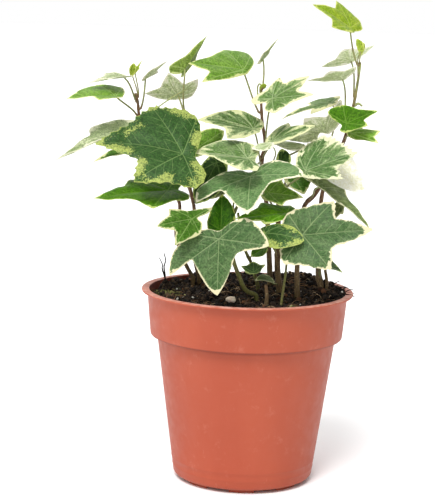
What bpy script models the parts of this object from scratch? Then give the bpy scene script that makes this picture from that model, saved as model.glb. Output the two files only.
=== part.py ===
# Variegated ivy growing in a round plastic nursery pot.
# Every dimension is in millimetres; the meshes are written in metres.
# Z is up, the pot stands on Z = 0 and its axis is the Z axis.
import math

import bmesh
import bpy
from mathutils import Vector

MM = 0.001

# Pot
POT_HEIGHT = 108.5          # feet to lip
LIP_RADIUS = 60.0           # outside of the flat lip
LIP_OVERHANG = 3.2          # lip beyond the band
LIP_THICKNESS = 1.2
LIP_EDGE = 0.35             # rounding of the lip's rim
BAND_HEIGHT = 26.0          # lip down to the step
BAND_TAPER = 2.2            # band narrower at its lower edge
STEP_DEPTH = 3.8            # band stands out from the wall
STEP_HEIGHT = 1.6
STEP_ROUND = 0.9            # rounding of the band's lower edge
BASE_RADIUS = 39.5          # wall just above the floor
BASE_CORNER = 2.4
CORNER_REACH = 1.5          # how far the base corner cuts in under the wall
WALL = 1.1
FLOOR_THICKNESS = 1.4
FOOT_HEIGHT = 2.0
FOOT_INNER = 29.0
FOOT_OUTER = 35.5
BOSS_RADIUS = 8.0           # round pad in the middle of the underside
BOSS_DRAFT = 0.5
SLOT_INNER = 19.0           # drain slots in the floor
SLOT_OUTER = 25.0
SEGMENTS = 48
FOOT_PERIOD = 6             # one foot in every six segments
SLOT_PERIOD = 12
CUT_SEGMENTS = 3            # width of a foot or a slot in segments
SHARP_ANGLE = 35.0          # pot edges steeper than this stay crisp

# Soil
GAP = 0.3                   # clearance between neighbouring pieces
SOIL_DROP = 3.0             # soil below the lip on the pot axis
SOIL_RISE_BACK = 0.04       # soil rises towards the back
SOIL_RISE_RIGHT = 0.03      # and towards the right
SOIL_HUMPS = (              # (height, rate to the right, rate to the back, phase)
    (0.50, 0.21, 0.17, 0.7),
    (0.45, 0.13, -0.24, 2.1),
    (0.35, 0.47, -0.39, 0.0),
)
SOIL_RINGS = (0.84, 0.66, 0.46, 0.24)
SOCKET_SIDES = 16
SOCKET_SPARE = 1.0          # room under the buried end of a shoot

# Shoots and leaves
PLANT_SCALE = 1.0           # size of the plant
LAYOUT_RADIUS = 60.0        # lip radius that the positions below were laid out for
ROOT_BLEND = 40.0           # up to this height the plant also spreads with the pot
SHOOT_SIDES = 7
SHOOT_STEPS = 2
ROOT_DEPTH = 13.0           # buried length of each shoot
LEAF_THICKNESS = 0.7
PETIOLE_SIDES = 6
PETIOLE_STEPS = 4
PETIOLE_RADIUS = 0.6
PETIOLE_SHARE = 0.04        # thinner petioles on short blades, as a share of the length
PETIOLE_BEND = 0.3          # length of both end tangents, as a share of the span
LARGE_LEAF = 27.0           # longer blades get a ring of points half way out
SMALL_LEAF = 11.0           # shorter blades get one point per edge
MID_RING = 0.52
ATTACH = 0.06               # petiole on the midrib, as a share of its length
CAMBER = 0.30               # rise of each half blade between midrib and lobe
CREASE = 0.08               # softness of the fold along the midrib
SLOPE_STEP = 0.01           # step for the slope of a blade

SWAYS = {"leaf_front_large": 0.2}   # sideways bow of a midrib, towards the right half

# Outline of half a blade as (along, across, bulge), midrib length 1.
# The first point is the tip and the last one the notch behind the petiole.
# Bulge is the bow of the edge that leads to the point.
BLADES = {
    "star": ((1.0, 0.0, 0.0), (0.45, 0.22, 0.10), (0.48, 0.62, 0.05), (0.06, 0.38, 0.10),
             (-0.22, 0.50, 0.06), (-0.24, 0.20, 0.14), (-0.06, 0.0, 0.0)),
    "broad": ((1.0, 0.0, 0.0), (0.48, 0.26, 0.10), (0.46, 0.62, 0.06), (0.10, 0.52, 0.08),
              (-0.18, 0.46, 0.12), (-0.24, 0.18, 0.14), (-0.06, 0.0, 0.0)),
    "lobed": ((1.0, 0.0, 0.0), (0.45, 0.24, 0.10), (0.46, 0.62, 0.06), (0.08, 0.40, 0.10),
              (-0.32, 0.42, 0.08), (-0.30, 0.14, 0.14), (-0.06, 0.0, 0.0)),
    "long": ((1.0, 0.0, 0.0), (0.56, 0.34, 0.06), (0.46, 0.62, 0.05), (0.0, 0.36, -0.04),
             (-0.70, 0.40, 0.0), (-0.42, 0.10, 0.14), (-0.06, 0.0, 0.0)),
    "three": ((1.0, 0.0, 0.0), (0.40, 0.24, 0.08), (0.48, 0.64, 0.05), (0.10, 0.50, 0.12),
              (-0.14, 0.32, 0.12), (-0.15, 0.13, 0.10), (-0.06, 0.0, 0.0)),
    "claw": ((1.0, 0.0, 0.0), (0.28, 0.34, 0.08), (0.48, 0.64, 0.05), (0.10, 0.62, 0.12),
             (-0.14, 0.38, 0.12), (-0.15, 0.13, 0.10), (-0.06, 0.0, 0.0)),
    "round": ((1.0, 0.0, 0.0), (0.62, 0.28, 0.0), (0.40, 0.60, 0.06), (0.14, 0.68, 0.06),
              (-0.10, 0.60, 0.12), (-0.14, 0.28, 0.10), (-0.06, 0.0, 0.0)),
    "full": ((1.0, 0.0, 0.0), (0.70, 0.32, 0.03), (0.40, 0.60, 0.08), (0.12, 0.58, 0.08),
             (-0.08, 0.44, 0.10), (-0.12, 0.18, 0.08), (-0.06, 0.0, 0.0)),
    "wedge": ((1.0, 0.0, 0.0), (0.50, 0.26, 0.08), (0.40, 0.60, 0.05), (0.10, 0.40, 0.06),
              (-0.03, 0.20, 0.05), (-0.07, 0.08, 0.05), (-0.06, 0.0, 0.0)),
    "arrow": ((1.0, 0.0, 0.0), (0.46, 0.26, 0.06), (0.28, 0.48, 0.05), (0.02, 0.34, 0.12),
              (-0.18, 0.30, 0.12), (-0.18, 0.12, 0.12), (-0.06, 0.0, 0.0)),
    "spade": ((1.0, 0.0, 0.0), (0.66, 0.30, 0.10), (0.30, 0.44, 0.10), (0.02, 0.38, 0.10),
              (-0.15, 0.26, 0.10), (-0.16, 0.11, 0.10), (-0.06, 0.0, 0.0)),
}
SHOULDER = 2                # outline point placed by the two lobe positions
GREEN_SHOOTS = ("shoot_front", "shoot_low")

# Shoots: (radius at the soil, radius at the tip, points).
# Points are (right, back, height above the lip); the first one is at the soil.
SHOOTS = {
    "shoot_left": (1.2, 0.7, (
        (-32, 29, 1), (-37, 28, 10), (-42.5, 28, 26), (-40.5, 24, 43), (-44, 21, 52),
        (-52, 16, 69), (-63, 12, 92), (-65, 11, 103), (-66.5, 11, 108))),
    "shoot_inner_left": (1.3, 0.7, (
        (-28.5, 32, 1), (-30.5, 31, 8), (-33, 27, 24), (-32, 22, 41), (-34.5, 16, 55),
        (-37, 10, 72), (-37, 8, 87), (-36.5, 4, 99))),
    "shoot_centre": (1.7, 0.7, (
        (13, 20, 1), (12, 19, 16), (9.5, 16, 46), (7.5, 14, 57), (6, 12, 72),
        (7.5, 10, 82), (5.5, 9, 95), (4.5, 8, 107), (4.5, 8, 114))),
    "shoot_stout": (1.8, 1.2, (
        (18, 1, 1), (16.5, 0, 14), (16.5, -2, 31), (16, -2, 48), (16.5, 0, 62), (14, 2, 73))),
    "shoot_right": (1.5, 0.7, (
        (28, -10, 1), (27.5, -8, 12), (28, -4, 31), (30.5, 0, 48), (36.5, 3, 55),
        (44.5, 8, 68), (52, 10, 85), (55.5, 9, 100), (57.5, 8, 112), (59, 8, 125), (59, 8, 129))),
    "shoot_back_right": (1.8, 1.0, (
        (42, 13, 1), (40.5, 16, 9), (41, 22, 28), (41, 26, 48), (43.5, 28, 62), (45.5, 28, 71))),
    "shoot_front": (1.3, 0.8, (
        (5, -18, 0), (-1, -19, 3), (-4.5, -21, 10), (-8, -22, 19), (-11, -20, 28),
        (-10, -14, 41), (-4, -10, 55))),
    "shoot_low": (1.0, 0.7, (
        (6, 4, 1), (2, 2, 14), (-2, -2, 23), (-5, -6, 36), (-6.5, -6, 44))),
}

# Leaves: (blade, shoot, joint height, arch, base, tip, left lobe, right lobe).
# Two blade names are the outlines of the left and of the right half.
# Left and right are seen from the glossy side with the tip pointing away.
# Positions are (right, back, height above the lip); arch lifts the middle of the blade.
LEAVES = {
    "leaf_left_wide": ("wedge full", "shoot_left", 96, 0.10,
                       (-74.5, -3, 107), (-103.5, -8, 105.5), (-84.5, -15, 104.5), (-88, 12, 112)),
    "leaf_left_thin": ("star wedge", "shoot_left", 104, 0.10,
                       (-71, 2, 117.5), (-92, 0, 113.5), (-81, -7, 116), (-84.5, 14, 118.5)),
    "leaf_left_bud": ("spade", "shoot_left", 107, 0.0,
                      (-68.5, 10, 119), (-67.5, 8, 125.5), (-70, 8, 122.5), (-66, 8, 122.5)),
    "leaf_left_inner": ("wedge", "shoot_left", 100, 0.05,
                        (-61.5, 8, 116), (-48.5, 10, 127), (-54, 16, 120), (-56.5, 0, 122.5)),
    "leaf_back_tall": ("arrow wedge", "shoot_inner_left", 97, 0.0,
                       (-39, -2, 122), (-26, -8, 142.5), (-33.5, 4, 127), (-47.5, -4, 124)),
    "leaf_back_pale": ("three wedge", "shoot_inner_left", 92, 0.0,
                       (-42, 14, 106.5), (-47.5, 4, 120.5), (-31.5, 10, 117.5), (-61, 5.5, 108.5)),
    "leaf_top_bright": ("wedge round", "shoot_centre", 100, 0.08,
                        (-4.5, 4, 123), (-36, -12, 127), (-29.5, -20, 116.5), (-18.5, 14, 133.5)),
    "leaf_top_centre": ("arrow", "shoot_centre", 113, 0.0,
                        (4.5, 8, 128.5), (13, 4, 141.5), (8.5, 14, 133), (5, 0, 133.5)),
    "leaf_upper_cream": ("lobed", "shoot_centre", 80, 0.06,
                         (9.5, -6, 107.5), (31.5, -2, 121.5), (15, 2, 120), (34.5, -20, 111.5)),
    "leaf_upper_strip": ("wedge", "shoot_right", 92, 0.0,
                         (50.5, 16, 119), (42, -2, 124), (56.5, 2, 127.5), (29.5, 8, 118.5)),
    "leaf_top_grey": ("wedge", "shoot_right", 110, 0.0,
                      (55, 20, 129), (50, 8, 136.5), (67.5, 12, 139), (37.5, 12, 126)),
    "leaf_top_right": ("wedge broad", "shoot_right", 128, 0.06,
                       (54, 6, 147.5), (31, -4, 161), (41, -10, 148.5), (44, 14, 163)),
    "leaf_top_bud": ("spade", "shoot_right", 129, 0.0,
                     (58.5, 4, 136), (56.5, 4, 142.5), (56.5, 4, 138.5), (60.5, 3, 140)),
    "leaf_front_large": ("broad round", "shoot_inner_left", 60, 0.06,
                         (-34.5, -28, 77.5), (-85.5, -32, 83), (-63.5, -46, 62),
                         (-56.5, -12, 100.5)),
    "leaf_left_drooping": ("arrow wedge", "shoot_left", 82, 0.12,
                           (-65, 0, 90), (-110, -8, 69), (-93, -18, 79), (-93, 14, 86.5)),
    "leaf_left_hidden": ("arrow", "shoot_left", 70, 0.05,
                         (-48, -12, 84), (-87.5, -24, 71.5), (-63.5, -22, 78), (-67.5, -8, 86)),
    "leaf_left_lower": ("arrow", "shoot_left", 48, 0.06,
                        (-43, -20, 57.5), (-86, -34, 53.5), (-53, -40, 49), (-68, -14, 61.5)),
    "leaf_centre_cream": ("wedge full", "shoot_centre", 72, 0.08,
                          (2.5, -1, 90.5), (-30, -12, 96), (-14, -22, 86.5), (-10.5, 2, 100.5)),
    "leaf_centre_behind": ("spade", "shoot_inner_left", 66, 0.05,
                           (-32, 2, 78), (-15.5, 2, 89.5), (-28, 4, 89), (-20, -3, 79.5)),
    "leaf_centre_long": ("round full", "shoot_centre", 68, 0.08,
                         (0, -26, 76.5), (-32.5, -22, 79), (-13, -38, 73.5), (-12.5, -8, 85)),
    "leaf_centre_shaded": ("spade", "shoot_inner_left", 50, 0.0,
                           (-18.5, -6, 73.5), (-30, -12, 49.5), (-15.5, -12, 57.5),
                           (-30.5, -8, 65)),
    "leaf_centre_large": ("three claw", "shoot_front", 53, 0.08,
                          (0, -20, 67.5), (-1, -50, 49), (29, -38, 69), (-29, -34, 53)),
    "leaf_front_small": ("broad long", "shoot_inner_left", 24, 0.06,
                         (-30, -42, 45), (-49, -56, 42.5), (-39.5, -58, 32), (-44, -44, 49.5)),
    "leaf_low_front": ("three claw", "shoot_front", 20, 0.06,
                       (-16, -42, 36.5), (-16, -52, 5), (11, -52, 33), (-41.5, -50, 15)),
    "leaf_upright": ("spade", "shoot_front", 26, 0.0,
                     (-15.5, -27, 36), (-15.5, -20, 56), (-23, -29, 42), (-7.5, -27.5, 45)),
    "leaf_front_bright": ("arrow", "shoot_stout", 30, 0.06,
                          (21.5, -18, 46.5), (-8, -34, 44.5), (7, -34, 41.5), (4.5, -16, 51)),
    "leaf_front_triangle": ("arrow", "shoot_stout", 44, 0.05,
                            (9, -15, 57), (29.5, -23, 56), (17.5, -10, 64), (18, -28, 51.5)),
    "leaf_right_variegated": ("full wedge", "shoot_stout", 54, 0.06,
                              (28, -24, 70), (57.5, -22, 81), (41, -8, 89), (50, -38, 68.5)),
    "leaf_right_cream": ("spade", "shoot_back_right", 58, 0.05,
                         (39.5, 0, 81), (64.5, -8, 58.5), (51.5, 2, 83), (44, -10, 63)),
    "leaf_right_drooping": ("arrow", "shoot_right", 52, 0.10,
                            (36, -14, 62), (67, -24, 39), (53, -2, 58), (46, -24, 55.5)),
    "leaf_right_inner": ("spade", "shoot_stout", 58, 0.05,
                         (20, 0, 69), (30, -10, 56.5), (33.5, -2, 65), (20.5, -6, 61)),
    "leaf_right_large": ("broad", "shoot_right", 25, 0.06,
                         (26.5, -38, 37), (66, -44, 42), (46, -32, 55.5), (44, -52, 21)),
    "leaf_front_curled": ("spade", "shoot_stout", 20, 0.25,
                          (7.5, -36, 37.5), (30, -46, 35.5), (21, -36, 41.5), (16, -46, 29.5)),
    "leaf_soil_fan": ("arrow", "shoot_low", 2, 0.0,
                      (3, -12, 11.5), (3, -3, 16.5), (-4, -7, 15), (9.5, -9, 16.5)),
    "leaf_soil_curled": ("spade", "shoot_stout", 3, 0.3,
                         (14, -12, 6.5), (4, -16, 8), (10, -19, 8), (9, -8, 10)),
    "leaf_right_low": ("arrow", "shoot_back_right", 5, 0.05,
                       (41.5, 2, 16), (53, -10, 13), (47, 8, 19.5), (45.5, -12, 15)),
    "leaf_right_olive": ("arrow", "shoot_back_right", 40, 0.0,
                         (51.5, 0, 50.5), (47, -6, 42), (52, -6, 45), (46, 1, 48.5)),
    "leaf_right_bright": ("round broad", "shoot_right", 90, 0.05,
                          (51, -7, 95.5), (68.5, -14, 104), (50, -3, 106), (63, -20, 96)),
    "leaf_right_second": ("wedge arrow", "shoot_right", 86, 0.04,
                          (54, -2, 90), (71, -10, 92.5), (61.5, 4, 93.5), (70.5, -16, 86)),
    "leaf_upper_edge": ("three", "shoot_back_right", 70, 0.08,
                        (46, 22, 105.5), (16, 14, 95.5), (32.5, 10, 98.5), (30.5, 36, 102.5)),
    "leaf_upper_broad": ("three", "shoot_back_right", 64, 0.0,
                         (42, 12, 88.5), (28.5, -6, 98), (48.5, 8, 109), (19, 4, 86)),
    "leaf_centre_narrow": ("wedge spade", "shoot_centre", 74, 0.06,
                           (9.5, -6, 84), (34.5, -16, 95), (21, 2, 95), (23, -18, 87.5)),
    "leaf_centre_grey": ("spade", "shoot_stout", 72, 0.05,
                         (28, 3, 81.5), (12.5, -2, 83), (21.5, -6, 80), (21.5, 12, 83.5)),
    "leaf_cream_small": ("spade", "shoot_centre", 60, 0.15,
                         (11, -17, 84), (0, -20, 81.5), (6, -24, 80.5), (5.5, -13, 84)),
    "leaf_centre_dark": ("spade", "shoot_stout", 64, 0.0,
                         (16, -8, 70), (17, -4, 81), (14, -8.5, 75.5), (22.5, -10, 76)),
    "leaf_front_grey": ("spade", "shoot_front", 46, 0.0,
                        (-11, 0, 58), (-30, -1, 52), (-20, -6, 52), (-20, 5, 58)),
    "leaf_low_small": ("spade", "shoot_low", 18, 0.05,
                       (9, -20, 27), (1.5, -24, 22.5), (7.5, -26, 23), (3, -18, 27)),
    "leaf_back_left": ("star", "shoot_inner_left", 50, 0.06,
                       (-44, 34, 70), (-62, 62, 72), (-66, 38, 72), (-39, 56, 72)),
    "leaf_back_centre": ("broad", "shoot_centre", 40, 0.06,
                         (8, 30, 55), (6, 62, 50), (-10, 44, 54), (24, 46, 54)),
    "leaf_back_right": ("star", "shoot_back_right", 24, 0.06,
                        (38, 34, 30), (44, 60, 26), (28, 50, 28), (54, 44, 30)),
}

# Surfaces: (red, green, blue, roughness).
COLOURS = {
    "terracotta_plastic": (0.60, 0.13, 0.07, 0.45),
    "potting_soil": (0.035, 0.022, 0.015, 0.95),
    "woody_stem": (0.12, 0.07, 0.04, 0.70),
    "green_stem": (0.17, 0.19, 0.06, 0.60),
    "ivy_variegated": (0.15, 0.24, 0.11, 0.50),
    "ivy_dark": (0.08, 0.17, 0.06, 0.50),
    "ivy_bright": (0.18, 0.36, 0.06, 0.45),
    "ivy_cream": (0.62, 0.60, 0.38, 0.55),
    "ivy_pale_back": (0.36, 0.42, 0.25, 0.60),
}
LEAF_COLOURS = {
    "ivy_dark": ("leaf_front_large", "leaf_centre_shaded", "leaf_right_drooping",
                 "leaf_right_olive", "leaf_centre_dark", "leaf_right_low", "leaf_soil_fan"),
    "ivy_bright": ("leaf_left_bud", "leaf_left_wide", "leaf_top_bright", "leaf_top_right",
                   "leaf_top_bud", "leaf_left_hidden", "leaf_left_lower", "leaf_upright",
                   "leaf_front_bright", "leaf_front_triangle", "leaf_front_curled",
                   "leaf_right_bright", "leaf_right_second", "leaf_low_small"),
    "ivy_cream": ("leaf_right_cream", "leaf_cream_small"),
    "ivy_pale_back": ("leaf_left_thin", "leaf_left_inner", "leaf_back_tall", "leaf_back_pale",
                      "leaf_top_centre", "leaf_upper_strip", "leaf_top_grey",
                      "leaf_left_drooping", "leaf_upper_broad", "leaf_centre_grey",
                      "leaf_front_grey"),
}


def clear_scene():
    for item in list(bpy.data.objects):
        bpy.data.objects.remove(item, do_unlink=True)


def make_materials():
    for name, (red, green, blue, roughness) in COLOURS.items():
        material = bpy.data.materials.new(name)
        material.use_nodes = True
        shader = material.node_tree.nodes["Principled BSDF"]
        shader.inputs["Base Color"].default_value = (red, green, blue, 1.0)
        shader.inputs["Roughness"].default_value = roughness
        shader.inputs["Metallic"].default_value = 0.0


def make_object(name, points, faces, material, smooth=True):
    """Mesh object from points in millimetres, with all faces turned outwards."""
    mesh = bpy.data.meshes.new(name)
    shape = bmesh.new()
    corners = [shape.verts.new(Vector(point) * MM) for point in points]
    for face in faces:
        shape.faces.new([corners[index] for index in face])
    bmesh.ops.recalc_face_normals(shape, faces=shape.faces)
    if shape.calc_volume(signed=True) < 0:
        bmesh.ops.reverse_faces(shape, faces=shape.faces)
    for face in shape.faces:
        face.smooth = smooth
    shape.to_mesh(mesh)
    shape.free()
    item = bpy.data.objects.new(name, mesh)
    bpy.context.collection.objects.link(item)
    mesh.materials.append(bpy.data.materials[material])
    return item


# ---------------------------------------------------------------- pot and soil

def ring_angle(segment):
    """Angles that centre the first foot on the front of the pot."""
    return math.radians(-90.0 + (segment - CUT_SEGMENTS / 2) * 360.0 / SEGMENTS)


def ring_points(radius, height):
    points = []
    for segment in range(SEGMENTS):
        angle = ring_angle(segment)
        points.append((radius * math.cos(angle), radius * math.sin(angle), height))
    return points


def wall_radius(height, inset):
    """Radius of the tapered wall below the band, measured in from its outside."""
    top = LIP_RADIUS - LIP_OVERHANG - BAND_TAPER - STEP_DEPTH
    share = (height - FOOT_HEIGHT) / (POT_HEIGHT - BAND_HEIGHT - FOOT_HEIGHT)
    return BASE_RADIUS + (top - BASE_RADIUS) * share - inset


def cavity_profile(clearance):
    """Inside of the pot from the floor up to the lip as (radius, height)."""
    floor = FOOT_HEIGHT + FLOOR_THICKNESS + clearance
    step = POT_HEIGHT - BAND_HEIGHT + WALL
    inset = WALL + clearance
    band_top = LIP_RADIUS - LIP_OVERHANG - WALL - clearance
    return [
        (wall_radius(floor, inset) - CORNER_REACH, floor),
        (wall_radius(floor + BASE_CORNER, inset), floor + BASE_CORNER),
        (wall_radius(step, inset), step + clearance),
        (band_top - BAND_TAPER, step + STEP_HEIGHT + clearance),
        (band_top, POT_HEIGHT),
    ]


def build_pot():
    """Rings run from the boss, along the underside, over the lip and down inside."""
    underside = FOOT_HEIGHT
    band_bottom = POT_HEIGHT - BAND_HEIGHT
    band_top = LIP_RADIUS - LIP_OVERHANG
    lip_bottom = POT_HEIGHT - LIP_THICKNESS
    outside = [
        (BOSS_RADIUS, 0.0),
        (BOSS_RADIUS + BOSS_DRAFT, underside),
        (SLOT_INNER, underside),
        (SLOT_OUTER, underside),
        (FOOT_INNER, underside),
        (FOOT_OUTER, underside),
        (BASE_RADIUS - CORNER_REACH, underside),
        (wall_radius(underside + BASE_CORNER, 0.0), underside + BASE_CORNER),
        (wall_radius(band_bottom, 0.0), band_bottom),
        (band_top - BAND_TAPER - STEP_ROUND, band_bottom + STEP_HEIGHT - STEP_ROUND),
        (band_top - BAND_TAPER, band_bottom + STEP_HEIGHT),
        (band_top, lip_bottom),
        (LIP_RADIUS - LIP_EDGE, lip_bottom),
        (LIP_RADIUS, lip_bottom + LIP_EDGE),
        (LIP_RADIUS, POT_HEIGHT - LIP_EDGE),
        (LIP_RADIUS - LIP_EDGE, POT_HEIGHT),
    ]
    floor = underside + FLOOR_THICKNESS
    inside = list(reversed(cavity_profile(0.0))) + [(SLOT_OUTER, floor), (SLOT_INNER, floor)]
    profile = outside + inside
    points = []
    for radius, height in profile:
        points += ring_points(radius, height)
    low_slot = outside.index((SLOT_INNER, underside))
    foot = outside.index((FOOT_INNER, underside))
    high_slot = len(profile) - 2
    faces = []
    for ring in range(len(profile) - 1):
        for segment in range(SEGMENTS):
            in_slot = segment % SLOT_PERIOD < CUT_SEGMENTS and ring in (low_slot, high_slot)
            in_foot = segment % FOOT_PERIOD < CUT_SEGMENTS and ring == foot
            if not in_slot and not in_foot:
                faces.append(ring_quad(ring, ring + 1, segment))
    for start in range(0, SEGMENTS, SLOT_PERIOD):
        faces += slot_walls(start, low_slot, high_slot)
    for start in range(0, SEGMENTS, FOOT_PERIOD):
        faces += foot_pad(start, foot, points)
    for ring, height in ((0, 0.0), (len(profile) - 1, floor)):
        centre = len(points)
        points.append((0.0, 0.0, height))
        for segment in range(SEGMENTS):
            after = (segment + 1) % SEGMENTS
            faces.append((centre, ring * SEGMENTS + segment, ring * SEGMENTS + after))
    pot = make_object("pot", points, faces, "terracotta_plastic")
    pot.data.set_sharp_from_angle(angle=math.radians(SHARP_ANGLE))


def corner(ring, segment):
    return ring * SEGMENTS + segment % SEGMENTS


def ring_quad(ring, above, segment):
    return (corner(ring, segment), corner(ring, segment + 1),
            corner(above, segment + 1), corner(above, segment))


def slot_walls(start, low, high):
    """Four walls joining a slot in the underside to the one in the floor above."""
    end = start + CUT_SEGMENTS
    faces = []
    for segment in range(start, end):
        faces.append((corner(low, segment), corner(low, segment + 1),
                      corner(high + 1, segment + 1), corner(high + 1, segment)))
        faces.append((corner(low + 1, segment), corner(low + 1, segment + 1),
                      corner(high, segment + 1), corner(high, segment)))
    for edge in (start, end):
        faces.append((corner(low, edge), corner(low + 1, edge),
                      corner(high, edge), corner(high + 1, edge)))
    return faces


def foot_pad(start, ring, points):
    """A foot hanging below the underside between the rings ring and ring + 1."""
    low = {}
    for level in (ring, ring + 1):
        for segment in range(start, start + CUT_SEGMENTS + 1):
            x, y, _ = points[corner(level, segment)]
            low[level, segment] = len(points)
            points.append((x, y, 0.0))
    faces = []
    for segment in range(start, start + CUT_SEGMENTS):
        faces.append((low[ring, segment], low[ring, segment + 1],
                      low[ring + 1, segment + 1], low[ring + 1, segment]))
        for level in (ring, ring + 1):
            faces.append((corner(level, segment), corner(level, segment + 1),
                          low[level, segment + 1], low[level, segment]))
    for segment in (start, start + CUT_SEGMENTS):
        faces.append((corner(ring, segment), corner(ring + 1, segment),
                      low[ring + 1, segment], low[ring, segment]))
    return faces


def soil_height(x, y):
    """Top of the soil: lower at the front and left, with a few soft humps."""
    height = POT_HEIGHT - SOIL_DROP + SOIL_RISE_BACK * y + SOIL_RISE_RIGHT * x
    for hump, right_rate, back_rate, phase in SOIL_HUMPS:
        height += hump * math.sin(x * right_rate + y * back_rate + phase)
    return height


def build_soil():
    """Soil following the inside of the pot, with a socket for every shoot."""
    profile = cavity_profile(GAP)
    low, high = profile[-2], profile[-1]
    points = []
    for radius, height in profile[:-1]:
        points += ring_points(radius, height)
    edge = []
    for x, y, _ in ring_points(high[0], 0.0):
        height = soil_height(x, y)
        share = (height - low[1]) / (high[1] - low[1])
        radius = low[0] + (high[0] - low[0]) * min(share, 1.0)
        edge.append((x * radius / high[0], y * radius / high[0], height))
    points += edge
    for share in SOIL_RINGS:
        points += [(x * share, y * share, soil_height(x * share, y * share)) for x, y, _ in edge]
    rings = len(points) // SEGMENTS
    faces = []
    for ring in range(rings - 1):
        for segment in range(SEGMENTS):
            faces.append(ring_quad(ring, ring + 1, segment))
    for ring, height in ((0, profile[0][1]), (rings - 1, soil_height(0.0, 0.0))):
        centre = len(points)
        points.append((0.0, 0.0, height))
        for segment in range(SEGMENTS):
            faces.append((centre, corner(ring, segment), corner(ring, segment + 1)))
    soil = make_object("soil", points, faces, "potting_soil")
    for name, (radius, _, path) in SHOOTS.items():
        x, y, _ = place(path[0])
        cut_socket(soil, name, x, y, radius + GAP)


def cut_socket(soil, name, x, y, radius):
    bottom = POT_HEIGHT - ROOT_DEPTH - SOCKET_SPARE
    top = POT_HEIGHT + ROOT_DEPTH
    points = []
    for height in (bottom, top):
        for side in range(SOCKET_SIDES):
            angle = 2.0 * math.pi * side / SOCKET_SIDES
            reach = radius / math.cos(math.pi / SOCKET_SIDES)
            points.append((x + reach * math.cos(angle), y + reach * math.sin(angle), height))
    faces = [tuple(range(SOCKET_SIDES)), tuple(range(SOCKET_SIDES, 2 * SOCKET_SIDES))]
    for side in range(SOCKET_SIDES):
        after = (side + 1) % SOCKET_SIDES
        faces.append((side, after, SOCKET_SIDES + after, SOCKET_SIDES + side))
    cutter = make_object("cutter_" + name, points, faces, "potting_soil")
    cutter.hide_render = True
    cutter.display_type = "WIRE"
    cut = soil.modifiers.new("socket_" + name, "BOOLEAN")
    cut.operation = "DIFFERENCE"
    cut.solver = "EXACT"
    cut.object = cutter


# ------------------------------------------------------------ shoots and leaves

def place(point):
    """Plant position from (right, back, height above the lip).

    At the soil the plant spreads with the pot, and from ROOT_BLEND up only with its own scale.
    """
    x, y, height = point
    share = min(max(height / ROOT_BLEND, 0.0), 1.0)
    spread = LIP_RADIUS / LAYOUT_RADIUS * (1.0 - share) + PLANT_SCALE * share
    return Vector((x * spread, y * spread, POT_HEIGHT + height * PLANT_SCALE))


def smooth_path(points, steps):
    """Catmull-Rom curve through the points."""
    ends = [points[0] * 2.0 - points[1]] + points + [points[-1] * 2.0 - points[-2]]
    path = []
    for index in range(len(points) - 1):
        a, b, c, d = ends[index:index + 4]
        for step in range(steps):
            t = step / steps
            bend = (2.0 * a - 5.0 * b + 4.0 * c - d) * t * t
            twist = (3.0 * b - a - 3.0 * c + d) * t * t * t
            path.append((2.0 * b + (c - a) * t + bend + twist) * 0.5)
    path.append(points[-1])
    return path


def bezier_path(start, leave, arrive, end, steps):
    path = []
    for step in range(steps + 1):
        t = step / steps
        s = 1.0 - t
        path.append(start * s ** 3 + leave * 3 * s * s * t + arrive * 3 * s * t * t + end * t ** 3)
    return path


def tube_rings(path, radii, sides, across):
    """Rings of points along a path; across is the direction of each ring's first point."""
    rings = []
    for index, centre in enumerate(path):
        before = path[max(index - 1, 0)]
        after = path[min(index + 1, len(path) - 1)]
        along = (after - before).normalized()
        across = (across - along * across.dot(along)).normalized()
        other = along.cross(across)
        ring = []
        for side in range(sides):
            angle = 2.0 * math.pi * side / sides
            ring.append(centre + (across * math.cos(angle) + other * math.sin(angle)) * radii[index])
        rings.append(ring)
    return rings


def tube_faces(rings, sides, first):
    """Side faces of a tube whose rings start at index first in the point list."""
    faces = []
    for ring in range(rings - 1):
        for side in range(sides):
            after = (side + 1) % sides
            low = first + ring * sides
            faces.append((low + side, low + after, low + sides + after, low + sides + side))
    return faces


def shoot_path(name):
    """Points along a shoot, which is straight where it is buried."""
    points = [place(point) for point in SHOOTS[name][2]]
    root = Vector((points[0].x, points[0].y, POT_HEIGHT - ROOT_DEPTH))
    return [root] + smooth_path(points, SHOOT_STEPS)


def shoot_radius(name, height):
    """Radius of a shoot at a height above the lip."""
    thick, thin, points = SHOOTS[name]
    share = (height - points[0][2]) / (points[-1][2] - points[0][2])
    return thick + (thin - thick) * min(max(share, 0.0), 1.0)


def shoot_at(name, height):
    """Position and upward direction of a shoot at a height above the lip."""
    path = shoot_path(name)
    level = POT_HEIGHT + height * PLANT_SCALE
    for low, high in zip(path, path[1:]):
        if low.z <= level <= high.z:
            share = (level - low.z) / (high.z - low.z)
            return low.lerp(high, share), (high - low).normalized()
    return path[-1], (path[-1] - path[-2]).normalized()


def build_shoot(name):
    path = shoot_path(name)
    radii = [shoot_radius(name, (point.z - POT_HEIGHT) / PLANT_SCALE) for point in path]
    rings = tube_rings(path, radii, SHOOT_SIDES, Vector((1.0, 0.0, 0.0)))
    points = [point for ring in rings for point in ring]
    faces = tube_faces(len(rings), SHOOT_SIDES, 0)
    faces.append(tuple(range(SHOOT_SIDES)))
    faces.append(tuple(range(len(points) - SHOOT_SIDES, len(points))))
    make_object(name, points, faces, "green_stem" if name in GREEN_SHOOTS else "woody_stem")


def halves(form):
    """Corners of the left and of the right half of a blade."""
    names = form.split()
    return BLADES[names[0]], BLADES[names[-1]]


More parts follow.
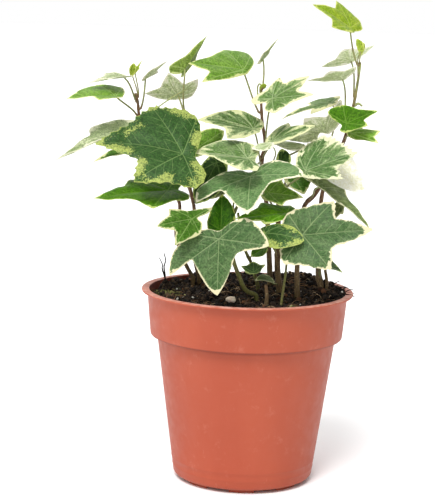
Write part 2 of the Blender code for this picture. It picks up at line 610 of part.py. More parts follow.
def half_outline(corners, per_edge):
    half = []
    for (x0, y0, _), (x1, y1, bulge) in zip(corners, corners[1:]):
        out_x = (x0 + x1) * 0.5 + (y1 - y0) * bulge
        out_y = (y0 + y1) * 0.5 - (x1 - x0) * bulge
        for step in range(per_edge):
            t = step / per_edge
            s = 1.0 - t
            half.append((x0 * s * s + out_x * 2 * s * t + x1 * t * t,
                         y0 * s * s + out_y * 2 * s * t + y1 * t * t))
    return half


def outline_points(form, per_edge):
    """Closed outline from the tip round the right side to the notch and back."""
    left, right = halves(form)
    notch = right[-1][:2]
    back = [(x, -y) for x, y in reversed(half_outline(left, per_edge)[1:])]
    return half_outline(right, per_edge) + [notch] + back


class Blade:
    """Maps blade coordinates (along, across) to positions in space."""

    def __init__(self, leaf, sway):
        form, _, _, self.arch, base, tip, left, right = leaf
        self.sway = sway
        self.base = place(base)
        self.axis = place(tip) - self.base
        self.length = self.axis.length
        left_half, right_half = halves(form)
        self.left, self.left_reach = self.side(left_half, left)
        self.right, self.right_reach = self.side(right_half, right)
        self.aside = (self.right - self.left).normalized()
        self.up = self.aside.cross(self.axis).normalized()

    def side(self, corners, lobe):
        """Step out to one side, and how far out the lobe on that side is."""
        along, reach, _ = corners[SHOULDER]
        return (place(lobe) - self.base - self.axis * along) / reach, reach

    def point(self, along, across):
        spread = (self.right - self.left) * 0.5
        fold = (self.right + self.left) * 0.5
        reach = self.right_reach if across > 0.0 else self.left_reach
        bow = along - along * along
        lift = self.arch * bow + CAMBER * (abs(across) * reach - across * across)
        bend = math.sqrt(across * across + CREASE * CREASE) - CREASE
        return (self.base + self.axis * along + spread * across + fold * bend
                + self.up * (lift * self.length) + self.aside * (self.sway * bow * self.length))

    def normal(self, along, across):
        forward = self.point(along + SLOPE_STEP, across) - self.point(along - SLOPE_STEP, across)
        sideways = self.point(along, across + SLOPE_STEP) - self.point(along, across - SLOPE_STEP)
        return sideways.cross(forward).normalized()


def build_leaf(name):
    leaf = LEAVES[name]
    blade = Blade(leaf, SWAYS.get(name, 0.0))
    per_edge = 1 if blade.length < SMALL_LEAF * PLANT_SCALE else 2
    outline = outline_points(leaf[0], per_edge)
    count = len(outline)
    levels = [outline]
    if blade.length > LARGE_LEAF * PLANT_SCALE:
        levels.append([(ATTACH + (x - ATTACH) * MID_RING, y * MID_RING) for x, y in outline])
    points = []
    for side in (0.5, -0.5):
        for level in levels:
            for along, across in level:
                offset = blade.normal(along, across) * (LEAF_THICKNESS * side)
                points.append(blade.point(along, across) + offset)
    depth = len(levels)
    faces = []
    for side in (0, depth):
        for level in range(side, side + depth - 1):
            faces += tube_faces(2, count, level * count)
    for index in range(count):
        after = (index + 1) % count
        faces.append((index, after, depth * count + after, depth * count + index))
    top = (depth - 1) * count
    centre = len(points)
    half = blade.normal(ATTACH, 0.0) * (LEAF_THICKNESS * 0.5)
    points.append(blade.point(ATTACH, 0.0) + half)
    faces += [(centre, top + index, top + (index + 1) % count) for index in range(count)]
    add_petiole(leaf, blade, (2 * depth - 1) * count, count, points, faces)
    make_object(name, points, faces, leaf_colour(name))


def add_petiole(leaf, blade, rim, count, points, faces):
    """Stalk grown from the underside of the blade towards its shoot."""
    _, shoot, height = leaf[:3]
    down = blade.normal(ATTACH, 0.0) * -1.0
    start = blade.point(ATTACH, 0.0) + down * (LEAF_THICKNESS * 0.5)
    joint, rise = shoot_at(shoot, height)
    radius = min(PETIOLE_RADIUS, PETIOLE_SHARE * blade.length)
    outward = start - joint
    outward = (outward - rise * outward.dot(rise)).normalized()
    joint = joint + outward * (shoot_radius(shoot, height) + GAP + radius)
    bend = (start - joint).length * PETIOLE_BEND
    leave = start + (down - blade.axis.normalized()).normalized() * bend
    arrive = joint + (rise * 2.0 + outward).normalized() * bend
    path = bezier_path(start, leave, arrive, joint, PETIOLE_STEPS)
    forward = (blade.axis - down * blade.axis.dot(down)).normalized()
    radii = [radius] * len(path)
    rings = tube_rings(path, radii, PETIOLE_SIDES, forward)
    other = forward.cross(down)
    rings[0] = []
    for side in range(PETIOLE_SIDES):
        angle = 2.0 * math.pi * side / PETIOLE_SIDES
        rings[0].append(start + (forward * math.cos(angle) - other * math.sin(angle)) * radius)
    first = len(points)
    for ring in rings:
        points += ring
    share = count // PETIOLE_SIDES
    for side in range(PETIOLE_SIDES):
        after = (side + 1) % PETIOLE_SIDES
        for index in range(side * share, (side + 1) * share):
            faces.append((rim + index, rim + (index + 1) % count, first + side))
        faces.append((rim + (side + 1) * share % count, first + after, first + side))
    faces += tube_faces(len(rings), PETIOLE_SIDES, first)
    last = first + (len(rings) - 1) * PETIOLE_SIDES
    faces.append(tuple(range(last, last + PETIOLE_SIDES)))


def leaf_colour(name):
    for colour, names in LEAF_COLOURS.items():
        if name in names:
            return colour
    return "ivy_variegated"


clear_scene()
make_materials()
build_pot()
build_soil()
for shoot_name in SHOOTS:
    build_shoot(shoot_name)
for leaf_name in LEAVES:
    build_leaf(leaf_name)
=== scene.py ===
# Looks of a variegated ivy growing in a round plastic nursery pot.
# Lengths are in millimetres until a mesh is written, which is in metres.
import math
import random
from collections import namedtuple

import bmesh
import bpy
import numpy as np
from mathutils import Matrix, Vector, noise


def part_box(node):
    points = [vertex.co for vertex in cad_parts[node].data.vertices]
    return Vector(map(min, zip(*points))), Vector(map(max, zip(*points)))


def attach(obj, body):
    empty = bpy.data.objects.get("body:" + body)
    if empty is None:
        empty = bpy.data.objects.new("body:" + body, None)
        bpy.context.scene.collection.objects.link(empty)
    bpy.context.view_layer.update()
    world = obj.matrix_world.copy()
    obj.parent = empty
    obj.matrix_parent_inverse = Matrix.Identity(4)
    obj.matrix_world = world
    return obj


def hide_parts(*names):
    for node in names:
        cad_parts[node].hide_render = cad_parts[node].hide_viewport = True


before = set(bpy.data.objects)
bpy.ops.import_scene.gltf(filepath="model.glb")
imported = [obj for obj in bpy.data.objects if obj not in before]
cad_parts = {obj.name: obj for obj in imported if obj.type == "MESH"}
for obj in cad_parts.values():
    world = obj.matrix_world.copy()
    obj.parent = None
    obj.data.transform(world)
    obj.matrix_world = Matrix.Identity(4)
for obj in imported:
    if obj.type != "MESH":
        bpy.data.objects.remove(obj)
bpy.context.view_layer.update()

MM = 0.001
SEED = 7
RANDOM = random.Random(SEED)

# Pot, as the frame was designed; its height and lip come from the frame itself.
POT_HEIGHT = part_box("pot")[1].z / MM
LIP_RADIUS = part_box("pot")[1].x / MM
LIP_OVERHANG = 3.2
LIP_THICKNESS = 1.2
LIP_ROUND = 0.45
BAND_HEIGHT = 26.0
BAND_TAPER = 2.2
STEP_DEPTH = 3.8
STEP_HEIGHT = 1.6
STEP_ROUND = 0.9
BASE_RADIUS = 39.5
BASE_CORNER = 2.4
CORNER_REACH = 1.5
WALL = 1.1
FLOOR_THICKNESS = 1.4
FOOT_HEIGHT = 2.0
FOOT_INNER = 29.0
FOOT_OUTER = 35.5
BOSS_RADIUS = 8.0
BOSS_DRAFT = 0.5
SLOT_INNER = 19.0
SLOT_OUTER = 25.0
SEGMENTS = 144
FOOT_PERIOD = 18
SLOT_PERIOD = 36
CUT_SEGMENTS = 9            # width of a foot or a slot in segments
RIDGE = 0.12                # height of the faint mould lines near the base
RIDGE_HEIGHTS = (7.5, 12.0)
SHARP_ANGLE = 38.0          # edges that turn more than this stay sharp
WALL_HEIGHTS = (30.0, 50.0, 68.0)   # rings between the base and the band
MOUTH_RADIUS = LIP_RADIUS - LIP_OVERHANG - WALL     # inside of the wall at the top

# Soil
GAP = 0.3
SOIL_DROP = 3.0
SOIL_RISE_BACK = 0.04
SOIL_RISE_RIGHT = 0.03
SOIL_HUMPS = (              # (height, rate to the right, rate to the back, phase)
    (0.50, 0.21, 0.17, 0.7),
    (0.45, 0.13, -0.24, 2.1),
    (0.35, 0.47, -0.39, 0.0),
)
MOUND = (2.0, 26.0, 36.0, 22.0)     # extra soil at the back right: height, right, back, width
DIP = (-2.6, -40.0, 30.0, 11.0)     # hollow at the back left
SOIL_TOP_RINGS = 40
CRUMBS = 2600
LUMPS = 420
COMMON_SMALL = 2.2          # power that makes small lumps more common than large ones
ANY_TURN = 6.3              # upper limit of a random turn in radians
BARK_BITS = 150
GRAINS = 46                 # white perlite grains
FIBRES = 220
FIBRE_STEPS = 9
FIBRE_SIDES = 5

# Blades and stalks; outlines and places are the ones the frame was built from, and blades are thinner
ATTACH = 0.06               # where the petiole meets the blade, as a share of the midrib
CAMBER = 0.30               # rise between the midrib and the lobes
CREASE = 0.08               # width of the round fold along the midrib
SLOPE_STEP = 0.01           # step for measuring the slope of a blade
SHOULDER = 2                # outline point at the tip of the side lobe
VEIN_CORNERS = (0, 2, 4)    # outline points that end a main vein
EDGE_STEPS = (12, 10, 8, 7, 6, 4)
RING_SHARES = (0.09, 0.2, 0.32, 0.44, 0.56, 0.67, 0.77, 0.86, 0.93, 0.97, 1.0)
TIP_SOFTNESS = 0.30         # how much smoothing rounds the tip of a lobe
UNEVEN = (0.025, 0.05, 0.0), (0.016, 0.17, 9.0)   # waves of an outline: size, rate, seed
BLADE_THICKNESS = 0.34
EDGE_THICKNESS = 0.20
QUILT = 0.40                # bulge of the tissue between the veins
QUILT_REACH = 2.2           # distance from a vein over which it rises
WAVES = 1.5                 # height of the waves at the edge
RIM_WIDTH = 2.0             # strip inside the edge where the blade gets thinner
RIM_ANGLE = 60.0            # edges of a blade that turn more than this stay sharp
LOBE_REACH = 6.0            # size of the paler tip of a lobe
FULL_LENGTH = 40.0          # shorter blades have lower waves and quilting
PETIOLE_SIDES = 10
PETIOLE_STEPS = 18
PETIOLE_RADIUS = 0.6
PETIOLE_SHARE = 0.04
PETIOLE_BEND = 0.3
THIN_PETIOLE = 0.42
SHOOT_SIDES = 16
SHOOT_STEPS = 8
ROOT_DEPTH = 13.0           # depth of the buried end of a shoot below the lip
SWELL = 0.22                # swelling of a shoot at a leaf joint
SWELL_REACH = 1.3
BARK_LUMPS = 0.10           # unevenness of a shoot as a share of its radius
STALK_LUMPS = 0.06
OLD_HEIGHT = 130.0          # height above the lip where a shoot is youngest

# Camera and lights
CAMERA_PLACE = (0.0, -900.0, 269.0)
CAMERA_PITCH = 8.66
CAMERA_YAW = -1.12
CAMERA_ROLL = 1.54
CAMERA_LENS = 117.2
CAMERA_SENSOR = 36.0        # width of the sensor, in the units of the lens
FLOOR_SIZE = 30.0           # metres
BLACK = (0.0, 0.0, 0.0)
WHITE = (1.0, 1.0, 1.0)
WORLD_LIGHT = 1.0
DARK_SIDE = 0.80            # loss of light from the far right
SIDE_REACH = (0.18, 0.85)   # sideways direction where the loss starts and where it is full
LAMPS = {                   # (direction it comes from, angle in degrees, strength)
    "key": ((-0.24, -0.85, 1.20), 22.0, 2.5),
    "fill": ((0.90, -0.60, 0.35), 70.0, 0.10),
    "back": ((0.30, 0.90, 0.90), 60.0, 0.40),
}

SWAYS = {"front_large": 0.2}   # sideways bow of a midrib, towards the right half

# Outline of half a blade between its tip and the notch behind the petiole, as points
# of (along, across, bulge) with a midrib length of 1.
TIP = (1.0, 0.0, 0.0)
NOTCH = (-0.06, 0.0, 0.0)
BLADES = {
    "star": ((0.45, 0.22, 0.10), (0.48, 0.62, 0.05), (0.06, 0.38, 0.10), (-0.22, 0.50, 0.06),
        (-0.24, 0.20, 0.14)),
    "broad": ((0.48, 0.26, 0.10), (0.46, 0.62, 0.06), (0.10, 0.52, 0.08), (-0.18, 0.46, 0.12),
        (-0.24, 0.18, 0.14)),
    "lobed": ((0.45, 0.24, 0.10), (0.46, 0.62, 0.06), (0.08, 0.40, 0.10), (-0.32, 0.42, 0.08),
        (-0.30, 0.14, 0.14)),
    "long": ((0.56, 0.34, 0.06), (0.46, 0.62, 0.05), (0.0, 0.36, -0.04), (-0.70, 0.40, 0.0),
        (-0.42, 0.10, 0.14)),
    "three": ((0.40, 0.24, 0.08), (0.48, 0.64, 0.05), (0.10, 0.50, 0.12), (-0.14, 0.32, 0.12),
        (-0.15, 0.13, 0.10)),
    "claw": ((0.28, 0.34, 0.08), (0.48, 0.64, 0.05), (0.10, 0.62, 0.12), (-0.14, 0.38, 0.12),
        (-0.15, 0.13, 0.10)),
    "round": ((0.62, 0.28, 0.0), (0.40, 0.60, 0.06), (0.14, 0.68, 0.06), (-0.10, 0.60, 0.12),
        (-0.14, 0.28, 0.10)),
    "full": ((0.70, 0.32, 0.03), (0.40, 0.60, 0.08), (0.12, 0.58, 0.08), (-0.08, 0.44, 0.10),
        (-0.12, 0.18, 0.08)),
    "wedge": ((0.50, 0.26, 0.08), (0.40, 0.60, 0.05), (0.10, 0.40, 0.06), (-0.03, 0.20, 0.05),
        (-0.07, 0.08, 0.05)),
    "arrow": ((0.46, 0.26, 0.06), (0.28, 0.48, 0.05), (0.02, 0.34, 0.12), (-0.18, 0.30, 0.12),
        (-0.18, 0.12, 0.12)),
    "spade": ((0.66, 0.30, 0.10), (0.30, 0.44, 0.10), (0.02, 0.38, 0.10), (-0.15, 0.26, 0.10),
        (-0.16, 0.11, 0.10)),
}

# Shoots: (radius at the soil, radius at the tip, points).
# Points are (right, back, height above the lip); the first one is at the soil.
SHOOTS = {
    "left": (1.2, 0.7, (
        (-32, 29, 1), (-37, 28, 10), (-42.5, 28, 26), (-40.5, 24, 43), (-44, 21, 52), (-52, 16, 69),
        (-63, 12, 92), (-65, 11, 103), (-66.5, 11, 108))),
    "inner_left": (1.3, 0.7, (
        (-28.5, 32, 1), (-30.5, 31, 8), (-33, 27, 24), (-32, 22, 41), (-34.5, 16, 55), (-37, 10, 72),
        (-37, 8, 87), (-36.5, 4, 99))),
    "centre": (1.7, 0.7, (
        (13, 20, 1), (12, 19, 16), (9.5, 16, 46), (7.5, 14, 57), (6, 12, 72), (7.5, 10, 82),
        (5.5, 9, 95), (4.5, 8, 107), (4.5, 8, 114))),
    "stout": (1.8, 1.2, (
        (18, 1, 1), (16.5, 0, 14), (16.5, -2, 31), (16, -2, 48), (16.5, 0, 62), (14, 2, 73))),
    "right": (1.5, 0.7, (
        (28, -10, 1), (27.5, -8, 12), (28, -4, 31), (30.5, 0, 48), (36.5, 3, 55), (44.5, 8, 68),
        (52, 10, 85), (55.5, 9, 100), (57.5, 8, 112), (59, 8, 125), (59, 8, 129))),
    "back_right": (1.8, 1.0, (
        (42, 13, 1), (40.5, 16, 9), (41, 22, 28), (41, 26, 48), (43.5, 28, 62), (45.5, 28, 71))),
    "front": (1.3, 0.8, (
        (5, -18, 0), (-1, -19, 3), (-4.5, -21, 10), (-8, -22, 19), (-11, -20, 28), (-10, -14, 41),
        (-4, -10, 55))),
    "low": (1.0, 0.7, (
        (6, 4, 1), (2, 2, 14), (-2, -2, 23), (-5, -6, 36), (-6.5, -6, 44))),
}

# Leaves. form names the blade, or the outlines of its left and right half; look names the
# colours of its top and underside; joint is the height above the lip where it grows from.
# Left and right are seen from the glossy side with the tip pointing away.
# Positions are (right, back, height above the lip); arch lifts the middle of the blade.
Leaf = namedtuple("Leaf", "form look shoot joint arch base tip left right")
LEAVES = {
    "left_wide": Leaf("wedge full", "fresh bright", "left", 96, 0.10,
        (-74.5, -3, 107), (-103.5, -8, 105.5), (-84.5, -15, 104.5), (-88, 12, 112)),
    "left_thin": Leaf("star wedge", "silver pale", "left", 104, 0.10,
        (-71, 2, 117.5), (-92, 0, 113.5), (-81, -7, 116), (-84.5, 14, 118.5)),
    "left_bud": Leaf("spade", "young bright", "left", 107, 0.0,
        (-68.5, 10, 119), (-67.5, 8, 125.5), (-70, 8, 122.5), (-66, 8, 122.5)),
    "left_inner": Leaf("wedge", "grey pale", "left", 100, 0.05,
        (-61.5, 8, 116), (-48.5, 10, 127), (-54, 16, 120), (-56.5, 0, 122.5)),
    "back_tall": Leaf("arrow wedge", "bright", "inner_left", 97, 0.0,
        (-39, -2, 122), (-26, -8, 142.5), (-33.5, 4, 127), (-47.5, -4, 124)),
    "back_pale": Leaf("three wedge", "grey pale", "inner_left", 92, 0.0,
        (-42, 14, 106.5), (-47.5, 4, 120.5), (-31.5, 10, 117.5), (-61, 5.5, 108.5)),
    "top_bright": Leaf("wedge round", "fresh bright", "centre", 100, 0.08,
        (-4.5, 4, 123), (-36, -12, 127), (-29.5, -20, 116.5), (-18.5, 14, 133.5)),
    "top_centre": Leaf("arrow", "grey", "centre", 113, 0.0,
        (4.5, 8, 128.5), (13, 4, 141.5), (8.5, 14, 133), (5, 0, 133.5)),
    "upper_cream": Leaf("lobed", "soft pale", "centre", 80, 0.06,
        (9.5, -6, 107.5), (31.5, -2, 121.5), (15, 2, 120), (34.5, -20, 111.5)),
    "upper_strip": Leaf("wedge", "silver pale", "right", 92, 0.0,
        (50.5, 16, 119), (42, -2, 124), (56.5, 2, 127.5), (29.5, 8, 118.5)),
    "top_grey": Leaf("wedge", "grey pale", "right", 110, 0.0,
        (55, 20, 129), (50, 8, 136.5), (67.5, 12, 139), (37.5, 12, 126)),
    "top_right": Leaf("wedge broad", "young bright", "right", 128, 0.06,
        (54, 6, 147.5), (31, -4, 161), (41, -10, 148.5), (44, 14, 163)),
    "top_bud": Leaf("spade", "young bright", "right", 129, 0.0,
        (58.5, 4, 136), (56.5, 4, 142.5), (56.5, 4, 138.5), (60.5, 3, 140)),
    "front_large": Leaf("broad round", "lime dark", "inner_left", 60, 0.06,
        (-34.5, -28, 77.5), (-85.5, -32, 83), (-63.5, -46, 62), (-56.5, -12, 100.5)),
    "left_drooping": Leaf("arrow wedge", "silver pale", "left", 82, 0.12,
        (-65, 0, 90), (-110, -8, 69), (-93, -18, 79), (-93, 14, 86.5)),
    "left_hidden": Leaf("arrow", "mid grey", "left", 70, 0.05,
        (-48, -12, 84), (-87.5, -24, 71.5), (-63.5, -22, 78), (-67.5, -8, 86)),
    "left_lower": Leaf("arrow", "bright", "left", 48, 0.06,
        (-43, -20, 57.5), (-86, -34, 53.5), (-53, -40, 49), (-68, -14, 61.5)),
    "centre_cream": Leaf("wedge full", "flame pale", "centre", 72, 0.08,
        (2.5, -1, 90.5), (-30, -12, 96), (-14, -22, 86.5), (-10.5, 2, 100.5)),
    "centre_behind": Leaf("spade", "fresh bright", "inner_left", 66, 0.05,
        (-32, 2, 78), (-15.5, 2, 89.5), (-28, 4, 89), (-20, -3, 79.5)),
    "centre_long": Leaf("round full", "flame pale", "centre", 68, 0.08,
        (0, -26, 76.5), (-32.5, -22, 79), (-13, -38, 73.5), (-12.5, -8, 85)),
    "centre_shaded": Leaf("spade", "dark", "inner_left", 50, 0.0,
        (-18.5, -6, 73.5), (-30, -12, 49.5), (-15.5, -12, 57.5), (-30.5, -8, 65)),
    "centre_large": Leaf("three claw", "grey", "front", 53, 0.08,
        (0, -20, 67.5), (-1, -50, 49), (29, -38, 69), (-29, -34, 53)),
    "front_small": Leaf("broad long", "mid grey", "inner_left", 24, 0.06,
        (-30, -42, 45), (-49, -56, 42.5), (-39.5, -58, 32), (-44, -44, 49.5)),
    "low_front": Leaf("three claw", "grey", "front", 20, 0.06,
        (-16, -42, 36.5), (-16, -52, 5), (11, -52, 33), (-41.5, -50, 15)),
    "upright": Leaf("spade", "deep bright", "front", 26, 0.0,
        (-15.5, -27, 36), (-15.5, -20, 56), (-23, -29, 42), (-7.5, -27.5, 45)),
    "front_bright": Leaf("arrow", "bright", "stout", 30, 0.06,
        (21.5, -18, 46.5), (-8, -34, 44.5), (7, -34, 41.5), (4.5, -16, 51)),
    "front_triangle": Leaf("arrow", "fresh bright", "stout", 44, 0.05,
        (9, -15, 57), (29.5, -23, 56), (17.5, -10, 64), (18, -28, 51.5)),
    "right_variegated": Leaf("full wedge", "streaked grey", "stout", 54, 0.06,
        (28, -24, 70), (57.5, -22, 81), (41, -8, 89), (50, -38, 68.5)),
    "right_cream": Leaf("spade", "cream", "back_right", 58, 0.05,
        (39.5, 0, 81), (64.5, -8, 58.5), (51.5, 2, 83), (44, -10, 63)),
    "right_drooping": Leaf("arrow", "olive grey", "right", 52, 0.10,
        (36, -14, 62), (67, -24, 39), (53, -2, 58), (46, -24, 55.5)),
    "right_inner": Leaf("spade", "mid grey", "stout", 58, 0.05,
        (20, 0, 69), (30, -10, 56.5), (33.5, -2, 65), (20.5, -6, 61)),
    "right_large": Leaf("broad", "grey", "right", 25, 0.06,
        (26.5, -38, 37), (66, -44, 42), (46, -32, 55.5), (44, -52, 21)),
    "front_curled": Leaf("spade", "lime dark", "stout", 20, 0.25,
        (7.5, -36, 37.5), (30, -46, 35.5), (21, -36, 41.5), (16, -46, 29.5)),
    "soil_fan": Leaf("arrow", "dark", "low", 2, 0.0,
        (3, -12, 11.5), (3, -3, 16.5), (-4, -7, 15), (9.5, -9, 16.5)),
    "soil_curled": Leaf("spade", "olive grey", "stout", 3, 0.3,
        (14, -12, 6.5), (4, -16, 8), (10, -19, 8), (9, -8, 10)),
    "right_low": Leaf("arrow", "dark", "back_right", 5, 0.05,
        (41.5, 2, 16), (53, -10, 13), (47, 8, 19.5), (45.5, -12, 15)),
    "right_olive": Leaf("arrow", "olive grey", "back_right", 40, 0.0,
        (51.5, 0, 50.5), (47, -6, 42), (52, -6, 45), (46, 1, 48.5)),
    "right_bright": Leaf("round broad", "bright", "right", 90, 0.05,
        (51, -7, 95.5), (68.5, -14, 104), (50, -3, 106), (63, -20, 96)),
    "right_second": Leaf("wedge arrow", "fresh bright", "right", 86, 0.04,
        (54, -2, 90), (71, -10, 92.5), (61.5, 4, 93.5), (70.5, -16, 86)),
    "upper_edge": Leaf("three", "soft pale", "back_right", 70, 0.08,
        (46, 22, 105.5), (16, 14, 95.5), (32.5, 10, 98.5), (30.5, 36, 102.5)),
    "upper_broad": Leaf("three", "grey pale", "back_right", 64, 0.0,
        (42, 12, 88.5), (28.5, -6, 98), (48.5, 8, 109), (19, 4, 86)),
    "centre_narrow": Leaf("wedge spade", "flame pale", "centre", 74, 0.06,
        (9.5, -6, 84), (34.5, -16, 95), (21, 2, 95), (23, -18, 87.5)),
    "centre_grey": Leaf("spade", "silver pale", "stout", 72, 0.05,
        (28, 3, 81.5), (12.5, -2, 83), (21.5, -6, 80), (21.5, 12, 83.5)),
    "cream_small": Leaf("spade", "silver pale", "centre", 60, 0.15,
        (11, -17, 84), (0, -20, 81.5), (6, -24, 80.5), (5.5, -13, 84)),
    "centre_dark": Leaf("spade", "dark", "stout", 64, 0.0,
        (16, -8, 70), (17, -4, 81), (14, -8.5, 75.5), (22.5, -10, 76)),
    "front_grey": Leaf("spade", "olive grey", "front", 46, 0.0,
        (-11, 0, 58), (-30, -1, 52), (-20, -6, 52), (-20, 5, 58)),
    "low_small": Leaf("spade", "bright", "low", 18, 0.05,
        (9, -20, 27), (1.5, -24, 22.5), (7.5, -26, 23), (3, -18, 27)),
    "back_left": Leaf("star", "grey", "inner_left", 50, 0.06,
        (-44, 34, 70), (-62, 62, 72), (-66, 38, 72), (-39, 56, 72)),
    "back_centre": Leaf("broad", "grey", "centre", 40, 0.06,
        (8, 30, 55), (6, 62, 50), (-10, 44, 54), (24, 46, 54)),
    "back_right": Leaf("star", "grey", "back_right", 24, 0.06,
        (38, 34, 30), (44, 60, 26), (28, 50, 28), (54, 44, 30)),
}

GREEN_SHOOTS = ("front", "low")

# Small things that only the looks have.
# Thin stems: (start radius, end radius, material, points).
THIN_STEMS = {
    "stem_right": (1.2, 0.8, "bark", ((45.5, 10, -5), (45.5, 10.5, 1), (45, 12.5, 6), (43.5, 15, 14))),
    "stem_green": (0.8, 0.6, "green", ((18.5, -30, -5), (19.5, -29, 4), (20.5, -26, 12),
        (21.5, -20, 22))),
    "stem_stub": (1.3, 0.9, "bark", ((10.5, -30, -5), (10.8, -30, 1), (10, -29, 8))),
    "stem_bud": (0.9, 0.5, "stalk", ((57, 8.8, 105), (59.2, 8.5, 106.2), (61.5, 8, 104.8))),
    "stem_hook": (0.5, 0.4, "stalk", ((4.4, 8, 106), (2.8, 8, 108.5), (2.3, 8, 113.5),
        (3.3, 7.5, 115.8), (4.6, 7, 114.6))),
    "stem_pale": (0.45, 0.3, "stalk", ((-56, -11, 99), (-50, -9, 104), (-41.7, -5, 109.5),
        (-37, 1, 111.8))),
    "twig_tall": (0.55, 0.25, "twig", ((-47.5, 8, -3), (-47.3, 8, 5), (-48, 8.5, 10), (-47.2, 8, 14),
        (-48.2, 8, 18))),
    "twig_short": (0.50, 0.22, "twig", ((-47.4, 8, 4), (-49, 8, 9), (-49, 8, 11.5), (-51, 8, 15.5))),
}
SMALL_LEAVES = {
    "small_leaf_centre": Leaf("spade", "young bright", "centre", 108, 0.0,
        (3.8, 6, 113.5), (7.4, 5, 115.4), (5.2, 5, 116.2), (6.2, 7, 113.2)),
    "small_leaf_left": Leaf("wedge", "young bright", "left", 106, 0.0,
        (-67, 10, 119.5), (-63, 10, 127), (-66.6, 11, 123.5), (-64.2, 9, 122.5)),
    "small_leaf_right": Leaf("spade", "young bright", "right", 122, 0.0,
        (59, 6, 134), (60.5, 4, 140.5), (58.5, 4, 137), (61.5, 6, 137.5)),
}
# Clumps on the soil: (right, back, spread, count, height, smallest, largest, material).
CLUMPS = {
    "moss_left": (-46.0, 2.0, 9.0, 170, 1.4, 0.4, 1.1, "moss"),
    "moss_front": (25.0, -40.0, 3.2, 80, 2.4, 0.4, 1.1, "moss"),
    "soil_heap": (-47.0, 9.0, 4.5, 260, 7.5, 0.5, 1.4, "crumb"),
    "soil_rim": (49.0, -2.0, 6.0, 120, 2.2, 0.5, 1.4, "crumb"),
    "soil_back": (-28.0, 42.0, 9.0, 480, 3.8, 0.6, 1.7, "crumb"),
    "soil_left": (-42.0, 33.0, 8.0, 520, 4.6, 0.6, 1.6, "crumb"),
}
PEBBLE = (-8.7, -27.0, 2.4, 2.9)    # right, back, height above the soil, radius
RIM_FIBRES = (49.0, 2.0, 8.0, 80)   # right, back, spread, count

# ---- mesh tools

def add_mesh(name, points, faces, materials, slots=None, smooth=True, attributes=None):
    """Piece from points in millimetres; slots holds each face's material index."""
    mesh = bpy.data.meshes.new(name)
    mesh.from_pydata([tuple(point) for point in np.asarray(points, float) * MM], [], faces)
    for material in materials:
        mesh.materials.append(material)
    if slots is not None:
        mesh.polygons.foreach_set("material_index", np.asarray(slots, np.int32))
    mesh.polygons.foreach_set("use_smooth", [smooth] * len(mesh.polygons))
    for key, values in (attributes or {}).items():
        layer = mesh.attributes.new(key, "FLOAT", "POINT")
        layer.data.foreach_set("value", np.asarray(values, np.float32))
    mesh.update()
    item = bpy.data.objects.new(name, mesh)
    bpy.context.scene.collection.objects.link(item)
    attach(item, "root")
    return item


def unit(vector):
    vector = np.asarray(vector, float)
    return vector / np.maximum(np.linalg.norm(vector, axis=-1, keepdims=True), 1e-9)


def wobble(point, rate, seed=0.0):
    """Smooth noise from about -1 to 1 at a point in millimetres."""
    x, y, z = point
    return noise.noise(Vector((x * rate + seed, y * rate - seed * 0.7, z * rate + seed * 0.3)))


def smooth_path(points, steps):
    """Catmull-Rom curve through the points."""
    points = [np.asarray(point, float) for point in points]
    ends = [points[0] * 2 - points[1]] + points + [points[-1] * 2 - points[-2]]
    path = []
    for index in range(len(points) - 1):
        a, b, c, d = ends[index:index + 4]
        for step in range(steps):
            t = step / steps
            path.append(0.5 * (2 * b + (c - a) * t + (2 * a - 5 * b + 4 * c - d) * t ** 2
                               + (3 * b - a - 3 * c + d) * t ** 3))
    path.append(points[-1])
    return np.array(path)


def bezier_path(start, leave, arrive, end, steps):
    t = np.linspace(0.0, 1.0, steps + 1)[:, None]
    s = 1.0 - t
    return start * s ** 3 + leave * 3 * s * s * t + arrive * 3 * s * t * t + end * t ** 3


def tube(path, radii, sides, first=0, lumpy=0.0, seed=0.0):
    """Points and faces of a closed tube; first is the index of its first point."""
    path = np.asarray(path, float)
    along = unit(np.gradient(path, axis=0))
    across = unit(np.cross(along[0], (0.31, 0.9, 0.2)))
    points = []
    for index, centre in enumerate(path):
        across = unit(across - along[index] * np.dot(across, along[index]))
        other = np.cross(along[index], across)
        for side in range(sides):
            angle = 2 * math.pi * side / sides
            out = across * math.cos(angle) + other * math.sin(angle)
            radius = radii[index]
            if lumpy:
                radius *= 1 + lumpy * wobble(centre + out * radius, 0.9, seed)
            points.append(centre + out * radius)
    faces = ring_faces(len(path), sides, first)
    faces.append(tuple(first + side for side in reversed(range(sides))))
    last = first + (len(path) - 1) * sides
    faces.append(tuple(last + side for side in range(sides)))
    return points, faces


def ring_faces(rings, sides, first=0):
    faces = []
    for ring in range(rings - 1):
        low = first + ring * sides
        for side in range(sides):
            after = (side + 1) % sides
            faces.append((low + side, low + after, low + sides + after, low + sides + side))
    return faces


# ---- materials

